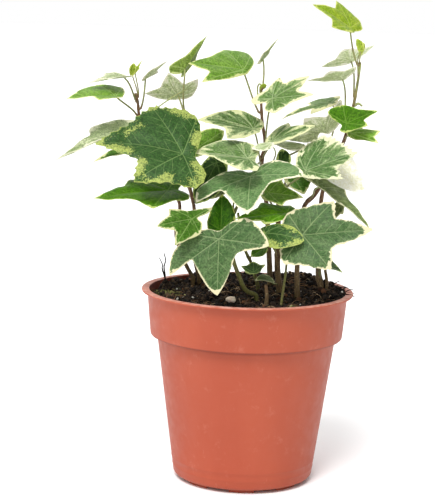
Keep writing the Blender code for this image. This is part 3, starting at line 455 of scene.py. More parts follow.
class Nodes:
    """Short names for building a material's node tree."""

    def __init__(self, name):
        self.material = bpy.data.materials.new(name)
        self.material.use_nodes = True
        self.tree = self.material.node_tree
        self.shader = self.tree.nodes["Principled BSDF"]
        self.place = self.add("ShaderNodeTexCoord").outputs["Object"]

    def add(self, kind, **settings):
        node = self.tree.nodes.new(kind)
        for key, value in settings.items():
            setattr(node, key, value)
        return node

    def wire(self, source, socket):
        if isinstance(source, (int, float)):
            socket.default_value = source
        elif isinstance(source, tuple):
            socket.default_value = source if len(source) == 4 else source + (1.0,)
        else:
            self.tree.links.new(source, socket)

    def math(self, operation, a, b=0.0):
        node = self.add("ShaderNodeMath", operation=operation)
        self.wire(a, node.inputs[0])
        self.wire(b, node.inputs[1])
        return node.outputs[0]

    def plus(self, a, b):
        return self.math("ADD", a, b)

    def minus(self, a, b):
        return self.math("SUBTRACT", a, b)

    def times(self, a, b):
        return self.math("MULTIPLY", a, b)

    def axes(self):
        """Places to the right, to the back and upwards, in millimetres."""
        split = self.add("ShaderNodeSeparateXYZ")
        self.wire(self.place, split.inputs[0])
        return [self.times(axis, 1.0 / MM) for axis in split.outputs]

    def ramp(self, value, low, high, start=0.0, end=1.0):
        """Smooth step of value from low to high, mapped to start and end."""
        node = self.add("ShaderNodeMapRange", interpolation_type="SMOOTHSTEP")
        for source, socket in zip((value, low, high, start, end), node.inputs):
            self.wire(source, socket)
        return node.outputs[0]

    def mix(self, factor, a, b, blend="MIX"):
        node = self.add("ShaderNodeMix", data_type="RGBA", blend_type=blend)
        for source, index in ((factor, 0), (a, 6), (b, 7)):
            self.wire(source, node.inputs[index])
        return node.outputs[2]

    def texture(self, place, scale, detail):
        node = self.add("ShaderNodeTexNoise")
        self.wire(place, node.inputs["Vector"])
        node.inputs["Scale"].default_value = scale
        node.inputs["Detail"].default_value = detail
        return node

    def noise(self, size, detail=3.0, stretch=(1.0, 1.0, 1.0), rough=0.5):
        """Noise whose features are about size millimetres across."""
        mapping = self.add("ShaderNodeMapping")
        self.wire(self.place, mapping.inputs["Vector"])
        mapping.inputs["Scale"].default_value = stretch
        node = self.texture(mapping.outputs[0], 1.0 / (size * MM), detail)
        node.inputs["Roughness"].default_value = rough
        return node.outputs["Fac"]

    def streaks(self, count, rate, detail, warp):
        """Noise that runs out from the petiole; rate is how fast it changes on the way out."""
        spot = self.add("ShaderNodeCombineXYZ")
        for index, name in enumerate(("fan_x", "fan_y")):
            self.wire(self.times(self.attribute(name), count), spot.inputs[index])
        depth = self.times(self.attribute("run"), rate)
        self.wire(self.plus(depth, self.attribute("seed")), spot.inputs[2])
        node = self.texture(spot.outputs[0], 1.0, detail)
        node.inputs["Distortion"].default_value = warp
        return node.outputs["Fac"]

    def attribute(self, name):
        return self.add("ShaderNodeAttribute", attribute_name=name).outputs["Fac"]

    def bump(self, height, strength, distance):
        node = self.add("ShaderNodeBump")
        self.wire(height, node.inputs["Height"])
        node.inputs["Strength"].default_value = strength
        node.inputs["Distance"].default_value = distance * MM
        self.wire(node.outputs[0], self.shader.inputs["Normal"])

    def gloss(self, size, low, high, specular, detail=3.0):
        """Roughness that varies from low to high in patches, and the strength of reflections."""
        patches = self.ramp(self.noise(size, detail), 0.3, 0.7, low, high)
        self.wire(patches, self.shader.inputs["Roughness"])
        self.shader.inputs["Specular IOR Level"].default_value = specular

    def finish(self, colour):
        self.wire(colour, self.shader.inputs["Base Color"])
        return self.material


def rgb(red, green, blue):
    """Linear colour from the usual 0 to 255 values."""
    linear = []
    for value in (red, green, blue):
        value /= 255.0
        linear.append(value / 12.92 if value <= 0.04045 else ((value + 0.055) / 1.055) ** 2.4)
    return tuple(linear)


def blade_green(n, dark, light, rib):
    """Two greens, in rays from the petiole and in small clouds."""
    rays = n.plus(n.streaks(2.6, 0.10, 3.0, 0.8), n.ramp(rib, 0.0, 5.0, 0.05, -0.03))
    green = n.mix(n.ramp(rays, 0.44, 0.56, 1.0, 0.0), dark, light)
    return n.mix(n.ramp(n.noise(3.0), 0.35, 0.65, 0.0, 0.5), green, n.mix(0.5, dark, light))


def margin_reach(n, flame, width, spikes):
    """How far in from the edge the margin reaches: waves, spikes, wide lobe tips and grain."""
    wide = n.ramp(n.noise(9.0, 2.0), 0.40, 0.64, 0.15 * width, 1.9 * width)
    spike = n.ramp(flame, 0.54, 0.80, 0.0, spikes)
    patch = n.ramp(n.noise(3.0), 0.40, 0.60, 0.2 * width, 1.3 * spikes)
    grain = n.times(n.minus(n.noise(1.0, rough=0.7), 0.5), 1.6 * width)
    return n.plus(n.plus(wide, spike), n.plus(n.times(n.attribute("lobe"), patch), grain))


def vein_lines(n, rib, run):
    """Strength of the main veins and of the side veins that branch off them."""
    main = n.times(n.ramp(rib, 0.12, 0.40, 1.0, 0.0), n.ramp(run, 6.0, 40.0, 0.9, 0.4))
    lane = n.plus(n.minus(run, n.times(rib, 1.1)), n.times(n.noise(7.0, 1.0), 2.0))
    lane = n.math("ABSOLUTE", n.minus(n.math("FRACT", n.times(lane, 0.19)), 0.5))
    side = n.times(n.ramp(lane, 0.015, 0.065, 0.75, 0.0), n.ramp(rib, 3.0, 9.0, 1.0, 0.0))
    side = n.times(side, n.ramp(n.noise(2.4, 2.0), 0.40, 0.56, 0.25, 1.0))
    return n.math("MAXIMUM", main, side)


def leaf_material(name, dark, light, zone, margin, vein, width, spikes, flames, flecks, gloss):
    """Leaf tissue in two greens, a paler zone round it and a ragged margin in another colour.

    width is the usual width of the margin, spikes how far its points reach in along the
    veins and flecks how far in it is speckled, all in millimetres; flames is how much of
    the blade is streaked with the zone and margin colours.
    """
    n = Nodes(name)
    dark, light, zone, margin, vein = (rgb(*colour) for colour in (dark, light, zone, margin, vein))
    edge, rib, run = (n.attribute(key) for key in ("edge", "rib", "run"))
    tissue = blade_green(n, dark, light, rib)
    flame = n.streaks(5.0, 0.06, 4.0, 0.6)
    if flames:
        pale = n.plus(flame, n.ramp(edge, 0.0, 7.0, 0.10, -0.04))
        for start, share, colour in ((0.60, 0.85, zone), (0.70, 0.80, margin)):
            start -= 0.12 * flames
            tissue = n.mix(n.ramp(pale, start, start + 0.06, 0.0, share), tissue, colour)
    inside = n.minus(edge, margin_reach(n, flame, width, spikes))
    tissue = n.mix(n.ramp(inside, 0.0, 0.5 + width, 0.6, 0.0), tissue, zone)
    speck = n.plus(n.noise(1.1, 5.0, rough=0.75), n.ramp(edge, 0.0, flecks, 0.11, -0.30))
    speck = n.plus(speck, n.ramp(n.noise(14.0, 1.0), 0.42, 0.60, -0.16, 0.04))
    tissue = n.mix(n.ramp(speck, 0.50, 0.56, 0.0, 0.85), tissue, margin)
    fine = n.ramp(n.noise(1.0, 4.0, rough=0.7), 0.34, 0.66, 0.14, 0.86)
    tissue = n.mix(0.55, tissue, n.mix(fine, BLACK, WHITE), "OVERLAY")
    veins = vein_lines(n, rib, run)
    tissue = n.mix(n.times(veins, 0.7), tissue, vein)
    colour = n.mix(n.ramp(inside, -0.15, 0.10, 1.0, 0.0), tissue, margin)
    # Lightness of each leaf laid over its colour: partly its own tone, partly painted light and shade.
    colour = n.mix(0.6, colour, n.mix(n.attribute("tone_and_painted_light"), BLACK, WHITE), "SOFT_LIGHT")
    n.bump(n.minus(n.times(n.noise(0.8), 0.35), n.times(veins, 0.5)), 0.45, 0.25)
    n.shader.inputs["Subsurface Weight"].default_value = 0.0
    n.gloss(2.0, gloss - 0.06, gloss + 0.08, 0.14)
    return n.finish(colour)


# Leaf colours from 0 to 255: dark and light green, zone inside the margin, margin, veins;
# then margin width, length of its spikes, flames, reach of the flecks and roughness.
GREENS = {
    "grey": ((64, 92, 50), (82, 106, 64), (116, 134, 92), (206, 200, 164), (138, 156, 108),
        0.40, 1.8, 0.0, 2.0, 0.50),
    "flame": ((68, 98, 42), (98, 120, 74), (146, 160, 112), (202, 204, 156), (156, 172, 126),
        0.60, 4.0, 0.8, 2.0, 0.52),
    "soft": ((78, 108, 48), (94, 120, 66), (124, 144, 92), (206, 204, 160), (150, 168, 120),
        0.90, 2.5, 0.3, 2.0, 0.52),
    "streaked": ((64, 94, 46), (86, 112, 62), (128, 146, 98), (204, 204, 166), (146, 164, 116),
        0.45, 4.5, 0.45, 3.5, 0.50),
    "lime": ((40, 70, 26), (52, 82, 36), (80, 108, 44), (152, 164, 84), (110, 136, 78),
        0.12, 0.6, 0.0, 12.5, 0.46),
    "dark": ((40, 68, 22), (56, 84, 34), (84, 110, 50), (170, 184, 112), (110, 136, 76),
        0.35, 2.0, 0.0, 1.5, 0.46),
    "mid": ((54, 92, 20), (72, 108, 36), (100, 132, 58), (196, 196, 146), (126, 152, 84),
        0.40, 2.2, 0.0, 2.0, 0.46),
    "bright": ((58, 102, 6), (72, 114, 18), (90, 130, 36), (176, 190, 108), (110, 146, 54),
        0.20, 1.0, 0.0, 0.8, 0.44),
    "deep": ((36, 76, 2), (54, 96, 8), (74, 114, 24), (166, 176, 88), (88, 124, 38),
        0.15, 1.2, 0.0, 1.5, 0.44),
    "fresh": ((88, 126, 36), (106, 140, 54), (130, 156, 74), (196, 202, 134), (150, 174, 100),
        0.30, 1.2, 0.0, 1.5, 0.48),
    "young": ((110, 138, 26), (132, 152, 40), (152, 166, 56), (184, 194, 98), (164, 178, 80),
        0.25, 1.0, 0.0, 1.0, 0.48),
    "cream": ((228, 226, 202), (238, 235, 220), (238, 235, 218), (242, 240, 230), (210, 212, 182),
        0.60, 2.0, 0.0, 2.0, 0.55),
    "olive": ((74, 90, 46), (98, 112, 66), (134, 144, 96), (196, 196, 150), (136, 146, 98),
        0.30, 1.6, 0.0, 2.0, 0.52),
    "silver": ((130, 146, 98), (156, 168, 126), (180, 186, 150), (214, 214, 186), (172, 180, 138),
        0.40, 2.0, 0.5, 2.0, 0.56),
}
BACKS = {
    "grey": ((122, 138, 88), (142, 156, 108), (172, 180, 136), (212, 210, 178), (172, 182, 138),
        0.50, 2.0, 0.0, 3.0, 0.62),
    "dark": ((104, 124, 70), (126, 142, 92), (158, 172, 108), (196, 204, 142), (160, 172, 126),
        0.50, 2.2, 0.0, 4.0, 0.62),
    "bright": ((94, 118, 42), (112, 134, 58), (130, 150, 74), (186, 196, 126), (146, 164, 94),
        0.25, 1.0, 0.0, 1.0, 0.60),
    "cream": ((226, 224, 200), (238, 234, 218), (238, 234, 216), (242, 240, 230), (208, 210, 186),
        0.60, 2.0, 0.0, 2.0, 0.62),
    "pale": ((160, 174, 122), (188, 196, 156), (204, 210, 172), (222, 220, 198), (150, 164, 112),
        0.60, 2.0, 0.3, 2.0, 0.64),
}
# Height of the teeth on the edge, and lightness, where 0.5 is neutral. The lightness is partly each
# leaf's own tone and partly painted light and shade: leaves in shade are darkened, and some shaded leaves
# are lightened.
TEETH = {"front_large": 0.030, "right_variegated": 0.045, "right_large": 0.018}
TONE_AND_PAINTED_LIGHT = {
    "centre_shaded": 0.16, "centre_dark": 0.24, "centre_behind": 0.42, "top_right": 0.62,
    "right_variegated": 0.60, "right_large": 0.46, "centre_large": 1.0, "cream_small": 0.80,
    "upper_edge": 0.40, "front_bright": 1.0, "right_second": 0.70, "front_triangle": 0.50,
    "right_drooping": 1.0, "right_bright": 0.46, "front_curled": 0.60, "top_grey": 0.98,
    "left_wide": 0.60, "left_lower": 0.46, "front_large": 0.58, "centre_long": 0.64,
    "right_cream": 0.50, "front_small": 0.54, "upper_strip": 0.56, "upper_broad": 0.44,
}


# ---- shoots and leaves

def place(point):
    """Plant position from (right, back, height above the lip)."""
    x, y, height = point
    return np.array((x, y, POT_HEIGHT + height))


def shoot_path(name):
    """Points along a shoot, which is straight where it is buried."""
    points = [place(point) for point in SHOOTS[name][2]]
    root = points[0] - (0.0, 0.0, points[0][2] - POT_HEIGHT + ROOT_DEPTH)
    return np.vstack([[root], smooth_path(points, SHOOT_STEPS)])


def shoot_radius(name, height):
    thick, thin, points = SHOOTS[name]
    share = (height - points[0][2]) / (points[-1][2] - points[0][2])
    return thick + (thin - thick) * min(max(share, 0.0), 1.0)


def shoot_at(name, height):
    """Position and upward direction of a shoot at a height above the lip."""
    path = shoot_path(name)
    level = POT_HEIGHT + height
    for low, high in zip(path, path[1:]):
        if low[2] <= level <= high[2]:
            return low + (high - low) * (level - low[2]) / (high[2] - low[2]), unit(high - low)
    return path[-1], unit(path[-1] - path[-2])


def build_shoot(key, bark):
    """Shoot with a swelling at every leaf joint and a rounded end."""
    name = "shoot_" + key
    path = shoot_path(key)
    joints = [leaf.joint for leaf in LEAVES.values() if leaf.shoot == key]
    radii = []
    for point in path:
        height = point[2] - POT_HEIGHT
        swell = sum(math.exp(-((height - joint) / SWELL_REACH) ** 2) for joint in joints)
        radii.append(shoot_radius(key, height) * (1 + SWELL * min(swell, 1.0)))
    tip = unit(path[-1] - path[-2])
    path = np.vstack([path, path[-1] + tip * radii[-1] * 0.6])
    radii.append(radii[-1] * 0.55)
    points, faces = tube(path, radii, SHOOT_SIDES, lumpy=BARK_LUMPS, seed=len(name))
    age = [min(max((point[2] - POT_HEIGHT) / OLD_HEIGHT, 0.0), 1.0) for point in points]
    item = add_mesh(name, points, faces, [bark], attributes={"age": age})
    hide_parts(name)


class Blade:
    """Maps blade coordinates (along, across) to positions in space."""

    def __init__(self, leaf, sway):
        self.arch, self.sway = leaf.arch, sway
        self.base = place(leaf.base)
        self.axis = place(leaf.tip) - self.base
        self.length = np.linalg.norm(self.axis)
        left_half, right_half = halves(leaf.form)
        self.left, self.left_reach = self.side(left_half, leaf.left)
        self.right, self.right_reach = self.side(right_half, leaf.right)
        self.aside = unit(self.right - self.left)
        self.up = unit(np.cross(self.aside, self.axis))

    def side(self, corners, lobe):
        """Step out to one side, and how far out the lobe on that side is."""
        along, reach, _ = corners[SHOULDER]
        return (place(lobe) - self.base - self.axis * along) / reach, reach

    def point(self, along, across):
        along, across = np.atleast_1d(along)[:, None], np.atleast_1d(across)[:, None]
        reach = np.where(across > 0.0, self.right_reach, self.left_reach)
        bow = along - along ** 2
        lift = self.arch * bow + CAMBER * (np.abs(across) * reach - across ** 2)
        bend = np.sqrt(across ** 2 + CREASE ** 2) - CREASE
        return (self.base + self.axis * along + (self.right - self.left) * 0.5 * across
                + (self.right + self.left) * 0.5 * bend
                + (self.up * lift + self.aside * self.sway * bow) * self.length)

    def normal(self, along, across):
        along, across = np.atleast_1d(along), np.atleast_1d(across)
        forward = self.point(along + SLOPE_STEP, across) - self.point(along - SLOPE_STEP, across)
        sideways = self.point(along, across + SLOPE_STEP) - self.point(along, across - SLOPE_STEP)
        return unit(np.cross(sideways, forward))


def halves(form):
    """Corners of the left and of the right half of a blade, from the tip to the notch."""
    names = form.split()
    return [(TIP, *BLADES[name], NOTCH) for name in (names[0], names[-1])]


def half_outline(corners):
    """Outline of one half, and the indices of the corners where a main vein ends."""
    half, marks = [], []
    for index, (start, end) in enumerate(zip(corners, corners[1:])):
        (x0, y0, _), (x1, y1, bulge) = start, end
        middle = ((x0 + x1) / 2 + (y1 - y0) * bulge, (y0 + y1) / 2 - (x1 - x0) * bulge)
        if index in VEIN_CORNERS:
            marks.append(len(half))
        for step in range(EDGE_STEPS[index]):
            t = step / EDGE_STEPS[index]
            s = 1 - t
            half.append((x0 * s * s + middle[0] * 2 * s * t + x1 * t * t,
                         y0 * s * s + middle[1] * 2 * s * t + y1 * t * t))
    return half, marks


def outline(form, seed, teeth):
    """Closed outline and the indices of the lobe tips on it, from the tip round the right side."""
    left_corners, right_corners = halves(form)
    left = half_outline(left_corners)[0]
    half, marks = half_outline(right_corners)
    notch = len(half)
    edge = np.array(half + [right_corners[-1][:2]] + [(x, -y) for x, y in reversed(left[1:])])
    tips = marks + [len(edge) - mark for mark in marks if mark]
    softness = np.ones((len(edge), 1))
    softness[tips] = TIP_SOFTNESS
    for _ in range(2):
        average = (np.roll(edge, 1, 0) + 2 * edge + np.roll(edge, -1, 0)) / 4
        edge = edge + (average - edge) * softness
    centre = np.array((ATTACH, 0.0))
    for index in range(len(edge)):
        turn = 2 * math.pi * index / len(edge)
        spot = (30 * math.cos(turn), 30 * math.sin(turn), 0.0)
        stretch = 1 + sum(size * wobble(spot, rate, seed + more) for size, rate, more in UNEVEN)
        if teeth and index not in tips and index != notch:
            stretch += teeth * (1.0 if index % 3 == 0 else -0.5)
        edge[index] = centre + (edge[index] - centre) * stretch
    return edge, tips


def nearest(points, lines):
    """Distance from every point to the nearest of several polylines."""
    best = np.full(len(points), np.inf)
    for line in lines:
        for start, end in zip(line, line[1:]):
            span = end - start
            share = np.clip((points - start) @ span / max(span @ span, 1e-9), 0.0, 1.0)
            best = np.minimum(best, np.linalg.norm(points - start - share[:, None] * span, axis=1))
    return best


def blade_faces(count, total):
    """Faces of the top, the underside and the rim of a blade, and the material index of each.

    count is the number of points round the outline and total the number on one side.
    """
    rings = len(RING_SHARES)
    faces, slots = [], []
    for side, first in enumerate((0, total)):
        fan = [(first, first + 1 + (index + 1) % count, first + 1 + index) for index in range(count)]
        fan += ring_faces(rings, count, first + 1)
        faces += [tuple(reversed(face)) for face in fan] if side else fan
        slots += [side] * len(fan)
    rim = 1 + (rings - 1) * count
    for index in range(count):
        after = (index + 1) % count
        faces.append((rim + index, rim + after, total + rim + after, total + rim + index))
        slots.append(0)
    return faces, slots


def build_leaf(name, leaf, stalk_skin):
    """Blade with veins, waves and a thin rim, and its petiole, as one piece."""
    key = name.removeprefix("leaf_")
    blade = Blade(leaf, SWAYS.get(key, 0.0))
    seed = sum(ord(letter) * (index + 3) for index, letter in enumerate(name)) % 97 / 3.7
    edge, tips = outline(leaf.form, seed, TEETH.get(key, 0.0))
    count = len(edge)
    centre = np.array((ATTACH, 0.0))
    plan = np.vstack([[centre]] + [centre + (edge - centre) * share for share in RING_SHARES])
    shares = np.concatenate([[0.0], np.repeat(RING_SHARES, count)])
    middle = blade.point(plan[:, 0], plan[:, 1])
    normal = blade.normal(plan[:, 0], plan[:, 1])
    rings = np.split(middle[1:], len(RING_SHARES))
    rib = nearest(middle, [np.array([middle[0]] + [ring[tip] for ring in rings]) for tip in tips])
    margin = nearest(middle, [np.vstack([rings[-1], rings[-1][:1]])])
    run = np.linalg.norm(middle - middle[0], axis=1)
    lobes = np.min([np.linalg.norm(middle - rings[-1][tip], axis=1) for tip in tips], axis=0)
    size = min(blade.length / FULL_LENGTH, 1.0)
    rim_share = np.minimum(margin / RIM_WIDTH, 1.0)
    quilt = QUILT * size * (1 - np.exp(-rib / QUILT_REACH)) * rim_share
    waves = np.array([wobble(point, 0.075, seed) + 0.45 * wobble(point, 0.2, seed + 5)
                      for point in middle])
    middle = middle + normal * (quilt + WAVES * size * waves * shares ** 2)[:, None]
    thick = EDGE_THICKNESS + (BLADE_THICKNESS - EDGE_THICKNESS) * rim_share
    half = normal * thick[:, None] / 2
    path, radii = petiole(leaf, blade, middle[0], normal[0])
    total = len(middle)
    stalk, stalk_faces = tube(path, radii, PETIOLE_SIDES, 2 * total, STALK_LUMPS, seed)
    points = np.vstack([middle + half, middle - half, stalk])
    faces, slots = blade_faces(count, total)
    fan = unit(plan - centre)
    values = {"edge": margin, "rib": rib, "run": run, "fan_x": fan[:, 0], "fan_y": fan[:, 1],
              "lobe": np.exp(-(lobes / (LOBE_REACH * size)) ** 2)}
    attributes = {title: np.concatenate([value, value, np.zeros(len(stalk))])
                  for title, value in values.items()}
    # A small random tone for each leaf, unless the table gives a lightness, which is partly painted light
    # and shade.
    tone_and_painted_light = TONE_AND_PAINTED_LIGHT.get(key, 0.5 + 0.08 * math.sin(seed * 5.1))
    attributes["tone_and_painted_light"] = np.full(len(points), tone_and_painted_light)
    attributes["seed"] = np.full(len(points), seed * 3.0)
    age = np.repeat(np.linspace(0, 1, len(path)), PETIOLE_SIDES)
    attributes["age"] = np.concatenate([np.zeros(2 * total), age])
    top, back = leaf.look.split()[0], leaf.look.split()[-1]
    item = add_mesh(name, points, faces + stalk_faces, [TOPS[top], UNDERSIDES[back], stalk_skin],
                    slots + [2] * len(stalk_faces), attributes=attributes)
    item.data.set_sharp_from_angle(angle=math.radians(RIM_ANGLE))
    if key in LEAVES:
        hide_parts(name)


def petiole(leaf, blade, start, normal):
    """Path and radii of the stalk from the blade to the skin of its shoot."""
    joint, rise = shoot_at(leaf.shoot, leaf.joint)
    thick = shoot_radius(leaf.shoot, leaf.joint)
    radius = min(PETIOLE_RADIUS, PETIOLE_SHARE * blade.length)
    outward = start - joint
    outward = unit(outward - rise * np.dot(outward, rise))
    skin = joint + outward * (thick * 0.8)
    joint = joint + outward * (thick + GAP + radius)
    bend = np.linalg.norm(start - joint) * PETIOLE_BEND
    leave = start + unit(-normal - unit(blade.axis)) * bend
    arrive = joint + unit(rise * 2 + outward) * bend
    path = bezier_path(start, leave, arrive, joint, PETIOLE_STEPS)
    path = np.vstack([path, skin - rise * radius * 0.6])
    t = np.linspace(0, 1, len(path))
    radius = max(radius, THIN_PETIOLE)
    radii = radius * (0.82 + 0.12 * t + 0.45 * t ** 14)
    radii[0] = radius * 0.5
    return path, radii


# ---- pot and soil

def ring_points(radius, height):
    """Ring of points turned so that the first foot is centred on the front."""
    turn = 2 * math.pi / SEGMENTS
    first = -math.pi / 2 - turn * CUT_SEGMENTS / 2
    return [(radius * math.cos(first + turn * k), radius * math.sin(first + turn * k), height)
            for k in range(SEGMENTS)]


def wall_radius(height, inset):
    top = LIP_RADIUS - LIP_OVERHANG - BAND_TAPER - STEP_DEPTH
    share = (height - FOOT_HEIGHT) / (POT_HEIGHT - BAND_HEIGHT - FOOT_HEIGHT)
    return BASE_RADIUS + (top - BASE_RADIUS) * share - inset


def cavity_profile(clearance):
    """Inside of the pot from the floor up to the lip as (radius, height)."""
    floor = FOOT_HEIGHT + FLOOR_THICKNESS + clearance
    step = POT_HEIGHT - BAND_HEIGHT + WALL
    inset = WALL + clearance
    band_top = MOUTH_RADIUS - clearance
    return [
        (wall_radius(floor, inset) - CORNER_REACH, floor),
        (wall_radius(floor + BASE_CORNER, inset), floor + BASE_CORNER),
        (wall_radius(step, inset), step + clearance),
        (band_top - BAND_TAPER, step + STEP_HEIGHT + clearance),
        (band_top, POT_HEIGHT),
    ]


def arc(centre, radius, start, end, steps):
    """Points on an arc in the (radius, height) plane, with angles in degrees."""
    points = []
    for step in range(steps + 1):
        angle = math.radians(start + (end - start) * step / steps)
        points.append((centre[0] + radius * math.cos(angle), centre[1] + radius * math.sin(angle)))
    return points


def pot_outside():
    """Outside of the pot from the boss under it to the top of the lip."""
    under = FOOT_HEIGHT
    band_bottom = POT_HEIGHT - BAND_HEIGHT
    band_top = LIP_RADIUS - LIP_OVERHANG
    lip_bottom = POT_HEIGHT - LIP_THICKNESS
    profile = [(BOSS_RADIUS, 0.0), (BOSS_RADIUS + BOSS_DRAFT, under), (SLOT_INNER, under),
               (SLOT_OUTER, under), (FOOT_INNER, under), (FOOT_OUTER, under)]
    profile += arc((wall_radius(under + BASE_CORNER, 0.0) - BASE_CORNER, under + BASE_CORNER),
                   BASE_CORNER, -90, -6, 7)
    for height in RIDGE_HEIGHTS:
        for lift, out in ((-0.5, 0.0), (-0.15, RIDGE), (0.15, RIDGE), (0.5, 0.0)):
            profile.append((wall_radius(height + lift, 0.0) + out, height + lift))
    profile += [(wall_radius(height, 0.0), height) for height in WALL_HEIGHTS]
    profile += [(wall_radius(band_bottom - 0.8, 0.0), band_bottom - 0.8),
                (wall_radius(band_bottom, 0.0) + 0.25, band_bottom - 0.1)]
    profile += arc((band_top - BAND_TAPER - STEP_ROUND, band_bottom + STEP_ROUND), STEP_ROUND, -90, 0, 5)
    profile += [(band_top - BAND_TAPER * 0.5, (band_bottom + lip_bottom) * 0.5),
                (band_top - 0.1, lip_bottom - 0.7), (band_top + 0.25, lip_bottom - 0.15),
                (band_top + 0.9, lip_bottom)]
    profile += arc((LIP_RADIUS - LIP_ROUND, lip_bottom + LIP_ROUND), LIP_ROUND, -90, 0, 4)
    profile += arc((LIP_RADIUS - LIP_ROUND, POT_HEIGHT - LIP_ROUND), LIP_ROUND, 0, 90, 4)
    return profile


def corner(ring, segment):
    """Index of a point of the pot or the soil, counted ring by ring."""
    return ring * SEGMENTS + segment % SEGMENTS


def cap(ring):
    return tuple(corner(ring, segment) for segment in range(SEGMENTS))


def quad(ring, above, segment):
    return (corner(ring, segment), corner(ring, segment + 1),
            corner(above, segment + 1), corner(above, segment))


def slot_walls(start, low, high):
    """Walls of a drain slot between the underside, at ring low, and the floor, at ring high."""
    end = start + CUT_SEGMENTS
    faces = []
    for segment in range(start, end):
        faces.append(quad(low, high + 1, segment))
        faces.append(quad(low + 1, high, segment))
    for edge in (start, end):
        faces.append((corner(low, edge), corner(low + 1, edge),
                      corner(high, edge), corner(high + 1, edge)))
    return faces


def foot_pad(start, ring, points):
    """A foot hanging below the underside between the rings ring and ring + 1."""
    low, faces = {}, []
    for level in (ring, ring + 1):
        for segment in range(start, start + CUT_SEGMENTS + 1):
            x, y, _ = points[corner(level, segment)]
            low[level, segment] = len(points)
            points.append((x, y, 0.0))
    for segment in range(start, start + CUT_SEGMENTS):
        faces.append((low[ring, segment], low[ring, segment + 1],
                      low[ring + 1, segment + 1], low[ring + 1, segment]))
        for level in (ring, ring + 1):
            faces.append((corner(level, segment), corner(level, segment + 1),
                          low[level, segment + 1], low[level, segment]))
    for segment in (start, start + CUT_SEGMENTS):
        faces.append((corner(ring, segment), corner(ring + 1, segment),
                      low[ring + 1, segment], low[ring, segment]))
    return faces


def face_outwards(item):
    shape = bmesh.new()
    shape.from_mesh(item.data)
    bmesh.ops.recalc_face_normals(shape, faces=shape.faces)
    if shape.calc_volume(signed=True) < 0:
        bmesh.ops.reverse_faces(shape, faces=shape.faces)
    shape.to_mesh(item.data)
    shape.free()


def build_pot(material):
    """Rings run from the boss, along the underside, over the lip and down inside."""
    outside = pot_outside()
    floor = FOOT_HEIGHT + FLOOR_THICKNESS
    inside = list(reversed(cavity_profile(0.0)))
    lip_inner = inside[0][0]
    inside = arc((lip_inner + LIP_ROUND, POT_HEIGHT - LIP_ROUND), LIP_ROUND, 90, 180, 3) + inside[1:]
    profile = outside + inside + [(SLOT_OUTER, floor), (SLOT_INNER, floor)]
    points = [point for radius, height in profile for point in ring_points(radius, height)]
    low_slot = outside.index((SLOT_INNER, FOOT_HEIGHT))
    foot = outside.index((FOOT_INNER, FOOT_HEIGHT))
    high_slot = len(profile) - 2
    faces = []
    for ring in range(len(profile) - 1):
        for segment in range(SEGMENTS):
            in_slot = segment % SLOT_PERIOD < CUT_SEGMENTS and ring in (low_slot, high_slot)
            in_foot = segment % FOOT_PERIOD < CUT_SEGMENTS and ring == foot
            if not in_slot and not in_foot:
                faces.append(quad(ring, ring + 1, segment))
    for start in range(0, SEGMENTS, SLOT_PERIOD):
        faces += slot_walls(start, low_slot, high_slot)
    for start in range(0, SEGMENTS, FOOT_PERIOD):
        faces += foot_pad(start, foot, points)
    faces += [cap(0), cap(len(profile) - 1)]
    pot = add_mesh("nursery_pot", points, faces, [material])
    face_outwards(pot)
    pot.data.set_sharp_from_angle(angle=math.radians(SHARP_ANGLE))
    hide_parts("pot")


def soil_height(x, y):
    """Top of the soil: humps, a mound at the back right and a hollow at the back left."""
    height = POT_HEIGHT - SOIL_DROP + SOIL_RISE_BACK * y + SOIL_RISE_RIGHT * x
    for hump, right_rate, back_rate, phase in SOIL_HUMPS:
        height += hump * math.sin(x * right_rate + y * back_rate + phase)
    for lift, right, back, width in (MOUND, DIP):
        height += lift * math.exp(-((x - right) ** 2 + (y - back) ** 2) / width ** 2)
    return height


def build_soil(material):
    """Soil that fills the pot, with a rough top."""
    profile = cavity_profile(GAP)
    points = [point for radius, height in profile[:-1] for point in ring_points(radius, height)]
    edge = ring_points(profile[-1][0] - 0.1, 0.0)
    for ring in range(SOIL_TOP_RINGS):
        share = 1.0 - ring / SOIL_TOP_RINGS
        for x, y, _ in edge:
            x, y = x * share, y * share
            rough = 0.55 * wobble((x, y, 0.0), 0.33) + 0.45 * wobble((x, y, 0.0), 0.8, 4.0)
            points.append((x, y, soil_height(x, y) + rough))
    rings = len(points) // SEGMENTS
    faces = ring_faces(rings, SEGMENTS) + [cap(0), cap(rings - 1)]
    soil = add_mesh("soil_bed", points, faces, [material],
                    attributes={"tint": [0.35 + 0.2 * wobble(point, 0.5) for point in points]})
    face_outwards(soil)
    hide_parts("soil")


def lump_shape(detail):
    """Points and faces of a unit ball of triangles."""
    ball = bmesh.new()
    bmesh.ops.create_icosphere(ball, subdivisions=detail, radius=1.0)
    points = np.array([tuple(point.co) for point in ball.verts])
    faces = [tuple(point.index for point in face.verts) for face in ball.faces]
    ball.free()
    return points, faces


def soil_spot(margin):
    """Random place on the soil, at least margin inside the pot wall."""
    radius = (MOUTH_RADIUS - margin) * math.sqrt(RANDOM.random())
    turn = RANDOM.uniform(0, 2 * math.pi)
    return radius * math.cos(turn), radius * math.sin(turn)


class Pile:
    """Small bodies on the soil that become one piece, each with its own tint."""

    def __init__(self):
        self.points, self.faces, self.tints = [], [], []

    def add(self, points, faces, tint):
        first = len(self.points)
        self.faces += [tuple(first + index for index in face) for face in faces]
        self.points += list(points)
        self.tints += [tint] * len(points)

    def build(self, name, material, smooth=True):
        item = add_mesh(name, self.points, self.faces, [material], smooth=smooth,
                        attributes={"tint": self.tints})


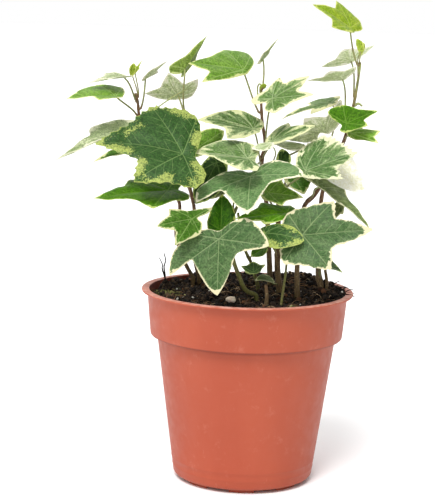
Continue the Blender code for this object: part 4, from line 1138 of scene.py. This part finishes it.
def scatter(name, count, detail, low, high, material, flat=0.8, rise=0.25):
    """Lumps lying on the soil; each has its own size, shape and turn."""
    shape, triangles = lump_shape(detail)
    pile = Pile()
    for _ in range(count):
        size = low + (high - low) * RANDOM.random() ** COMMON_SMALL
        x, y = soil_spot(size)
        angle = RANDOM.uniform(0, ANY_TURN)
        turn = Matrix.Rotation(angle, 3, Vector((RANDOM.random(), RANDOM.random(), 0.3)))
        stretch = np.array((1.0, RANDOM.uniform(0.55, 1.0), RANDOM.uniform(0.5, 1.0) * flat))
        rough = np.array([1 + RANDOM.uniform(-0.22, 0.22) for _ in shape])
        body = (shape * rough[:, None] * stretch * size) @ np.array(turn)
        base = (x, y, soil_height(x, y) + rise * size + RANDOM.uniform(-0.2, 0.5))
        pile.add(body + base, triangles, RANDOM.random())
    pile.build(name, material, smooth=detail > 1)


def fibre(start, turn, length, radius, lift, seed):
    """Bent root or straw lying on the soil."""
    path, spot, heading = [], np.array(start, float), turn
    for step in range(FIBRE_STEPS):
        path.append(spot.copy())
        heading += 0.55 * wobble((step * 3.0, 0.0, 0.0), 0.4, seed)
        spot += (math.cos(heading) * length / FIBRE_STEPS, math.sin(heading) * length / FIBRE_STEPS, 0.0)
        rise = lift * math.sin(math.pi * (step + 1) / FIBRE_STEPS)
        spot[2] = soil_height(spot[0], spot[1]) + 0.4 + rise
    share = 0.15 + 0.7 * np.linspace(0.0, 1.0, FIBRE_STEPS)
    return tube(path, radius * (0.5 + 0.5 * np.sin(math.pi * share)), FIBRE_SIDES)


def build_fibres(material):
    """Thin roots and straw between the crumbs."""
    pile = Pile()
    for index in range(FIBRES):
        x, y = soil_spot(6.0)
        points, faces = fibre((x, y, soil_height(x, y) + 0.2), RANDOM.uniform(0, ANY_TURN),
                              RANDOM.uniform(3, 11), RANDOM.uniform(0.10, 0.22),
                              RANDOM.uniform(0.2, 2.4), index)
        pile.add(points, faces, RANDOM.random())
    pile.build("soil_fibres", material)


def keep_inside(x, y, margin):
    """The place, pulled in where it is less than margin inside the pot wall."""
    pull = min((MOUTH_RADIUS - margin) / math.hypot(x, y), 1.0)
    return x * pull, y * pull


def build_clump(name, row, material):
    """Heap of small lumps on the soil."""
    right, back, spread, count, height, small, large = row[:7]
    shape, triangles = lump_shape(1)
    pile = Pile()
    for _ in range(count):
        size = RANDOM.uniform(small, large)
        away = RANDOM.gauss(0.0, 0.5), RANDOM.gauss(0.0, 0.5)
        x, y = keep_inside(right + away[0] * spread, back + away[1] * spread, size)
        lift = height * math.exp(-2.0 * (away[0] ** 2 + away[1] ** 2)) * RANDOM.uniform(0.2, 1.0)
        rough = np.array([1 + RANDOM.uniform(-0.3, 0.3) for _ in shape])
        body = shape * rough[:, None] * size
        pile.add(body + (x, y, soil_height(x, y) + lift), triangles, RANDOM.random())
    pile.build(name, material)


def build_pebble(material):
    right, back, lift, radius = PEBBLE
    shape, triangles = lump_shape(3)
    points = []
    for point in shape:
        size = radius * (1 + 0.28 * wobble(point * 3.0, 0.5))
        points.append(point * size * (1.0, 0.7, 0.6) + (right, back, soil_height(right, back) + lift))
    pebble = add_mesh("soil_pebble", points, triangles, [material],
                      attributes={"tint": [0.5 + 0.3 * wobble(point, 0.4) for point in points]})


def build_rim_fibres(material):
    """Frizzy roots that stand up at the right side of the pot."""
    right, back, spread, count = RIM_FIBRES
    pile = Pile()
    for index in range(count):
        x, y = right + RANDOM.gauss(0.0, 0.35) * spread, back + RANDOM.gauss(0.0, 0.8) * spread
        x, y = keep_inside(x, y, WALL)
        start = np.array((x, y, soil_height(x, y) - 0.3))
        length = RANDOM.uniform(2.5, 8.0)
        lean = np.array((RANDOM.uniform(-0.4, 1.0), RANDOM.uniform(-0.8, 0.6), RANDOM.uniform(0.5, 1.0)))
        curl = np.array((RANDOM.uniform(-0.6, 1.0), RANDOM.uniform(-0.8, 0.8), -0.5))
        path = [start + (lean * t + curl * t * t) * length for t in np.linspace(0.0, 1.0, 8)]
        points, faces = tube(path, np.linspace(0.40, 0.20, 8), FIBRE_SIDES, lumpy=0.2, seed=index)
        pile.add(points, faces, RANDOM.random())
    pile.build("soil_rim_fibres", material)


def build_thin_stem(name, row, material):
    start, end, _, points = row
    path = smooth_path([place(point) for point in points], SHOOT_STEPS)
    share = np.linspace(0.0, 1.0, len(path))
    rings, faces = tube(path, start + (end - start) * share, PETIOLE_SIDES, lumpy=0.15, seed=len(name))
    item = add_mesh(name, rings, faces, [material],
                    attributes={"age": np.repeat(0.2 * share, PETIOLE_SIDES), "tint": [0.3] * len(rings)})


# ---- materials of the parts

def pot_material():
    """Terracotta-coloured moulded plastic with flow marks and dust, a lip top paler from wear and a
    painted highlight, painted shade just under the band and painted shade on the inside of the wall below
    the lip.
    """
    n = Nodes("terracotta_plastic_fine")
    flow = n.noise(30.0, stretch=(1.0, 1.0, 0.25))
    colour = n.mix(n.ramp(flow, 0.3, 0.7), rgb(160, 70, 45), rgb(168, 77, 51))
    dust = n.ramp(n.noise(9.0, 5.0, rough=0.7), 0.56, 0.80)
    colour = n.mix(n.times(dust, 0.16), colour, rgb(222, 160, 138))
    scuff = n.ramp(n.noise(1.6, 4.0, stretch=(1.0, 1.0, 0.12), rough=0.75), 0.66, 0.74)
    colour = n.mix(n.times(scuff, 0.14), colour, rgb(232, 176, 156))
    right, back, up = n.axes()
    # The top edge of the lip is paler: partly wear, partly a painted highlight along the edge.
    wear_and_highlight = n.ramp(up, POT_HEIGHT - 0.6, POT_HEIGHT - 0.1, 0.0, 0.7)
    wear_and_highlight = n.times(wear_and_highlight, n.ramp(n.noise(3.0), 0.35, 0.65, 0.3, 1.0))
    colour = n.mix(wear_and_highlight, colour, rgb(206, 148, 128))
    # Painted shade: a darker strip on the wall just under the step below the band, where the band's
    # overhang shades it.
    step = POT_HEIGHT - BAND_HEIGHT
    painted_shade = n.ramp(up, step - 2.2, step - 0.2, 0.0, 0.5)
    painted_shade = n.times(painted_shade, n.ramp(up, step + 0.5, step + 1.2, 1.0, 0.0))
    colour = n.mix(painted_shade, colour, rgb(96, 38, 24))
    # Painted shade: the inside of the wall from about 5 mm below the top downwards is darkened to a dark
    # terracotta, as shade inside the pot.
    across = n.math("SQRT", n.plus(n.times(right, right), n.times(back, back)))
    painted_inner_shade = n.ramp(across, MOUTH_RADIUS, MOUTH_RADIUS + 0.4, 0.7, 0.0)
    painted_inner_shade = n.times(painted_inner_shade, n.ramp(up, POT_HEIGHT - 6.0, POT_HEIGHT - 5.0))
    colour = n.mix(painted_inner_shade, colour, rgb(66, 24, 16))
    n.bump(n.plus(n.noise(0.7, 2.0), n.times(flow, 0.6)), 0.10, 0.12)
    n.gloss(5.0, 0.46, 0.58, 0.35)
    return n.finish(colour)


def soil_material(name, dark, middle, light, roughness=0.95):
    n = Nodes(name)
    tint = n.plus(n.attribute("tint"), n.minus(n.noise(1.1, 4.0, rough=0.7), 0.5))
    colour = n.mix(n.ramp(tint, 0.15, 0.60), rgb(*dark), rgb(*middle))
    colour = n.mix(n.ramp(tint, 0.72, 1.05), colour, rgb(*light))
    n.bump(n.noise(0.45, 4.0, rough=0.7), 0.7, 0.35)
    n.gloss(1.0, roughness - 0.15, roughness, 0.25, 2.0)
    return n.finish(colour)


def stem_material(name, low, middle, high, streak, gloss=0.6):
    """Bark or skin whose colour changes along the stem, with streaks and pale pores."""
    n = Nodes(name)
    age = n.plus(n.attribute("age"), n.times(n.noise(4.0), 0.16))
    colour = n.mix(n.ramp(age, 0.10, 0.50), rgb(*low), rgb(*middle))
    colour = n.mix(n.ramp(age, 0.85, 1.02), colour, rgb(*high))
    lines = n.noise(0.7, stretch=(1.0, 1.0, 0.12), rough=0.65)
    colour = n.mix(n.ramp(lines, 0.46, 0.60, 0.0, 0.6), colour, rgb(*streak))
    pores = n.ramp(n.noise(0.9, 2.0), 0.60, 0.68, 0.0, 0.5)
    colour = n.mix(pores, colour, rgb(166, 150, 112))
    n.bump(n.plus(lines, n.times(n.noise(0.5, 2.0), 0.5)), 0.7, 0.3)
    n.gloss(1.0, gloss - 0.1, gloss + 0.1, 0.3, 2.0)
    return n.finish(colour)


def floor_material():
    n = Nodes("studio_floor")
    n.shader.inputs["Roughness"].default_value = 0.9
    return n.finish(n.mix(n.noise(60.0, 2.0), rgb(250, 250, 250), rgb(252, 252, 252)))


# ---- camera and lights

def add_camera():
    """Camera in front of the plant, slightly above its middle."""
    data = bpy.data.cameras.new("camera")
    data.sensor_width = CAMERA_SENSOR
    data.lens = CAMERA_LENS
    camera = bpy.data.objects.new("camera", data)
    bpy.context.scene.collection.objects.link(camera)
    turn = (Matrix.Rotation(math.radians(-CAMERA_YAW), 4, "Z")
            @ Matrix.Rotation(math.radians(90.0 - CAMERA_PITCH), 4, "X")
            @ Matrix.Rotation(math.radians(CAMERA_ROLL), 4, "Z"))
    camera.matrix_world = Matrix.Translation(Vector(CAMERA_PLACE) * MM) @ turn
    bpy.context.scene.camera = camera


def add_light(name, source, spread, strength):
    """Wide distant light, like a big softbox."""
    data = bpy.data.lights.new(name, "SUN")
    data.angle = math.radians(spread)
    data.energy = strength
    lamp = bpy.data.objects.new(name, data)
    bpy.context.scene.collection.objects.link(lamp)
    lamp.location = source
    lamp.rotation_euler = (-Vector(source)).to_track_quat("-Z", "Y").to_euler()


def add_world():
    """White surroundings that give less light from the far right."""
    world = bpy.data.worlds.new("studio")
    world.use_nodes = True
    tree = world.node_tree
    background = tree.nodes["Background"].inputs
    background["Color"].default_value = WHITE + (1.0,)
    direction = tree.nodes.new("ShaderNodeTexCoord")
    split = tree.nodes.new("ShaderNodeSeparateXYZ")
    ramp = tree.nodes.new("ShaderNodeMapRange")
    ramp.interpolation_type = "SMOOTHSTEP"
    for socket, value in zip(ramp.inputs[1:], SIDE_REACH + (WORLD_LIGHT, WORLD_LIGHT - DARK_SIDE)):
        socket.default_value = value
    tree.links.new(direction.outputs["Generated"], split.inputs[0])
    tree.links.new(split.outputs[0], ramp.inputs[0])
    tree.links.new(ramp.outputs[0], background["Strength"])
    bpy.context.scene.world = world


def add_studio():
    add_world()
    bpy.context.scene.view_settings.view_transform = "Standard"
    for name, row in LAMPS.items():
        add_light(name, *row)
    bpy.ops.mesh.primitive_plane_add(size=FLOOR_SIZE)
    floor = bpy.context.object
    floor.name = "floor"
    floor.data.materials.append(floor_material())


# ---- the plant

TOPS = {name: leaf_material("ivy_top_" + name, *row) for name, row in GREENS.items()}
UNDERSIDES = {name: leaf_material("ivy_back_" + name, *row) for name, row in BACKS.items()}

add_camera()
add_studio()
build_pot(pot_material())
build_soil(soil_material("soil_bed_fine", (16, 9, 5), (46, 32, 23), (84, 66, 50)))
crumb = soil_material("soil_crumb", (12, 6, 3), (40, 28, 20), (88, 70, 52))
scatter("soil_crumbs", CRUMBS, 1, 0.5, 1.6, crumb)
scatter("soil_lumps", LUMPS, 2, 0.9, 2.6, crumb, rise=0.1)
bark_bits = soil_material("bark_bits", (50, 30, 18), (92, 60, 38), (134, 100, 70))
scatter("soil_bark", BARK_BITS, 1, 0.7, 2.4, bark_bits, flat=0.35, rise=0.6)
perlite = soil_material("perlite", (196, 188, 176), (222, 216, 206), (240, 236, 230), 0.9)
scatter("soil_perlite", GRAINS, 2, 0.35, 1.0, perlite, rise=0.7)
build_fibres(soil_material("fibres", (56, 36, 24), (124, 94, 66), (206, 180, 146)))
bark = stem_material("shoot_bark", (108, 88, 56), (112, 80, 58), (140, 148, 84), (62, 44, 28))
green_bark = stem_material("shoot_green", (112, 112, 58), (122, 130, 70), (140, 150, 84),
                           (78, 66, 38))
stalk = stem_material("petiole_skin", (150, 162, 100), (136, 142, 88), (118, 96, 66),
                      (118, 96, 70), 0.5)
for shoot_name in SHOOTS:
    build_shoot(shoot_name, green_bark if shoot_name in GREEN_SHOOTS else bark)
for leaf_name, leaf_row in LEAVES.items():
    build_leaf("leaf_" + leaf_name, leaf_row, stalk)
for leaf_name, leaf_row in SMALL_LEAVES.items():
    build_leaf(leaf_name, leaf_row, stalk)
SKINS = {"bark": bark, "green": green_bark, "stalk": stalk, "twig": crumb}
for stem_name, stem_row in THIN_STEMS.items():
    build_thin_stem(stem_name, stem_row, SKINS[stem_row[2]])
moss = soil_material("moss", (58, 58, 26), (104, 102, 52), (168, 162, 110))
for clump_name, clump_row in CLUMPS.items():
    build_clump(clump_name, clump_row, moss if clump_row[7] == "moss" else crumb)
build_pebble(soil_material("pebble", (240, 206, 182), (255, 236, 216), (255, 250, 240), 0.8))
build_rim_fibres(soil_material("dark_roots", (10, 6, 4), (26, 18, 13), (54, 42, 32)))
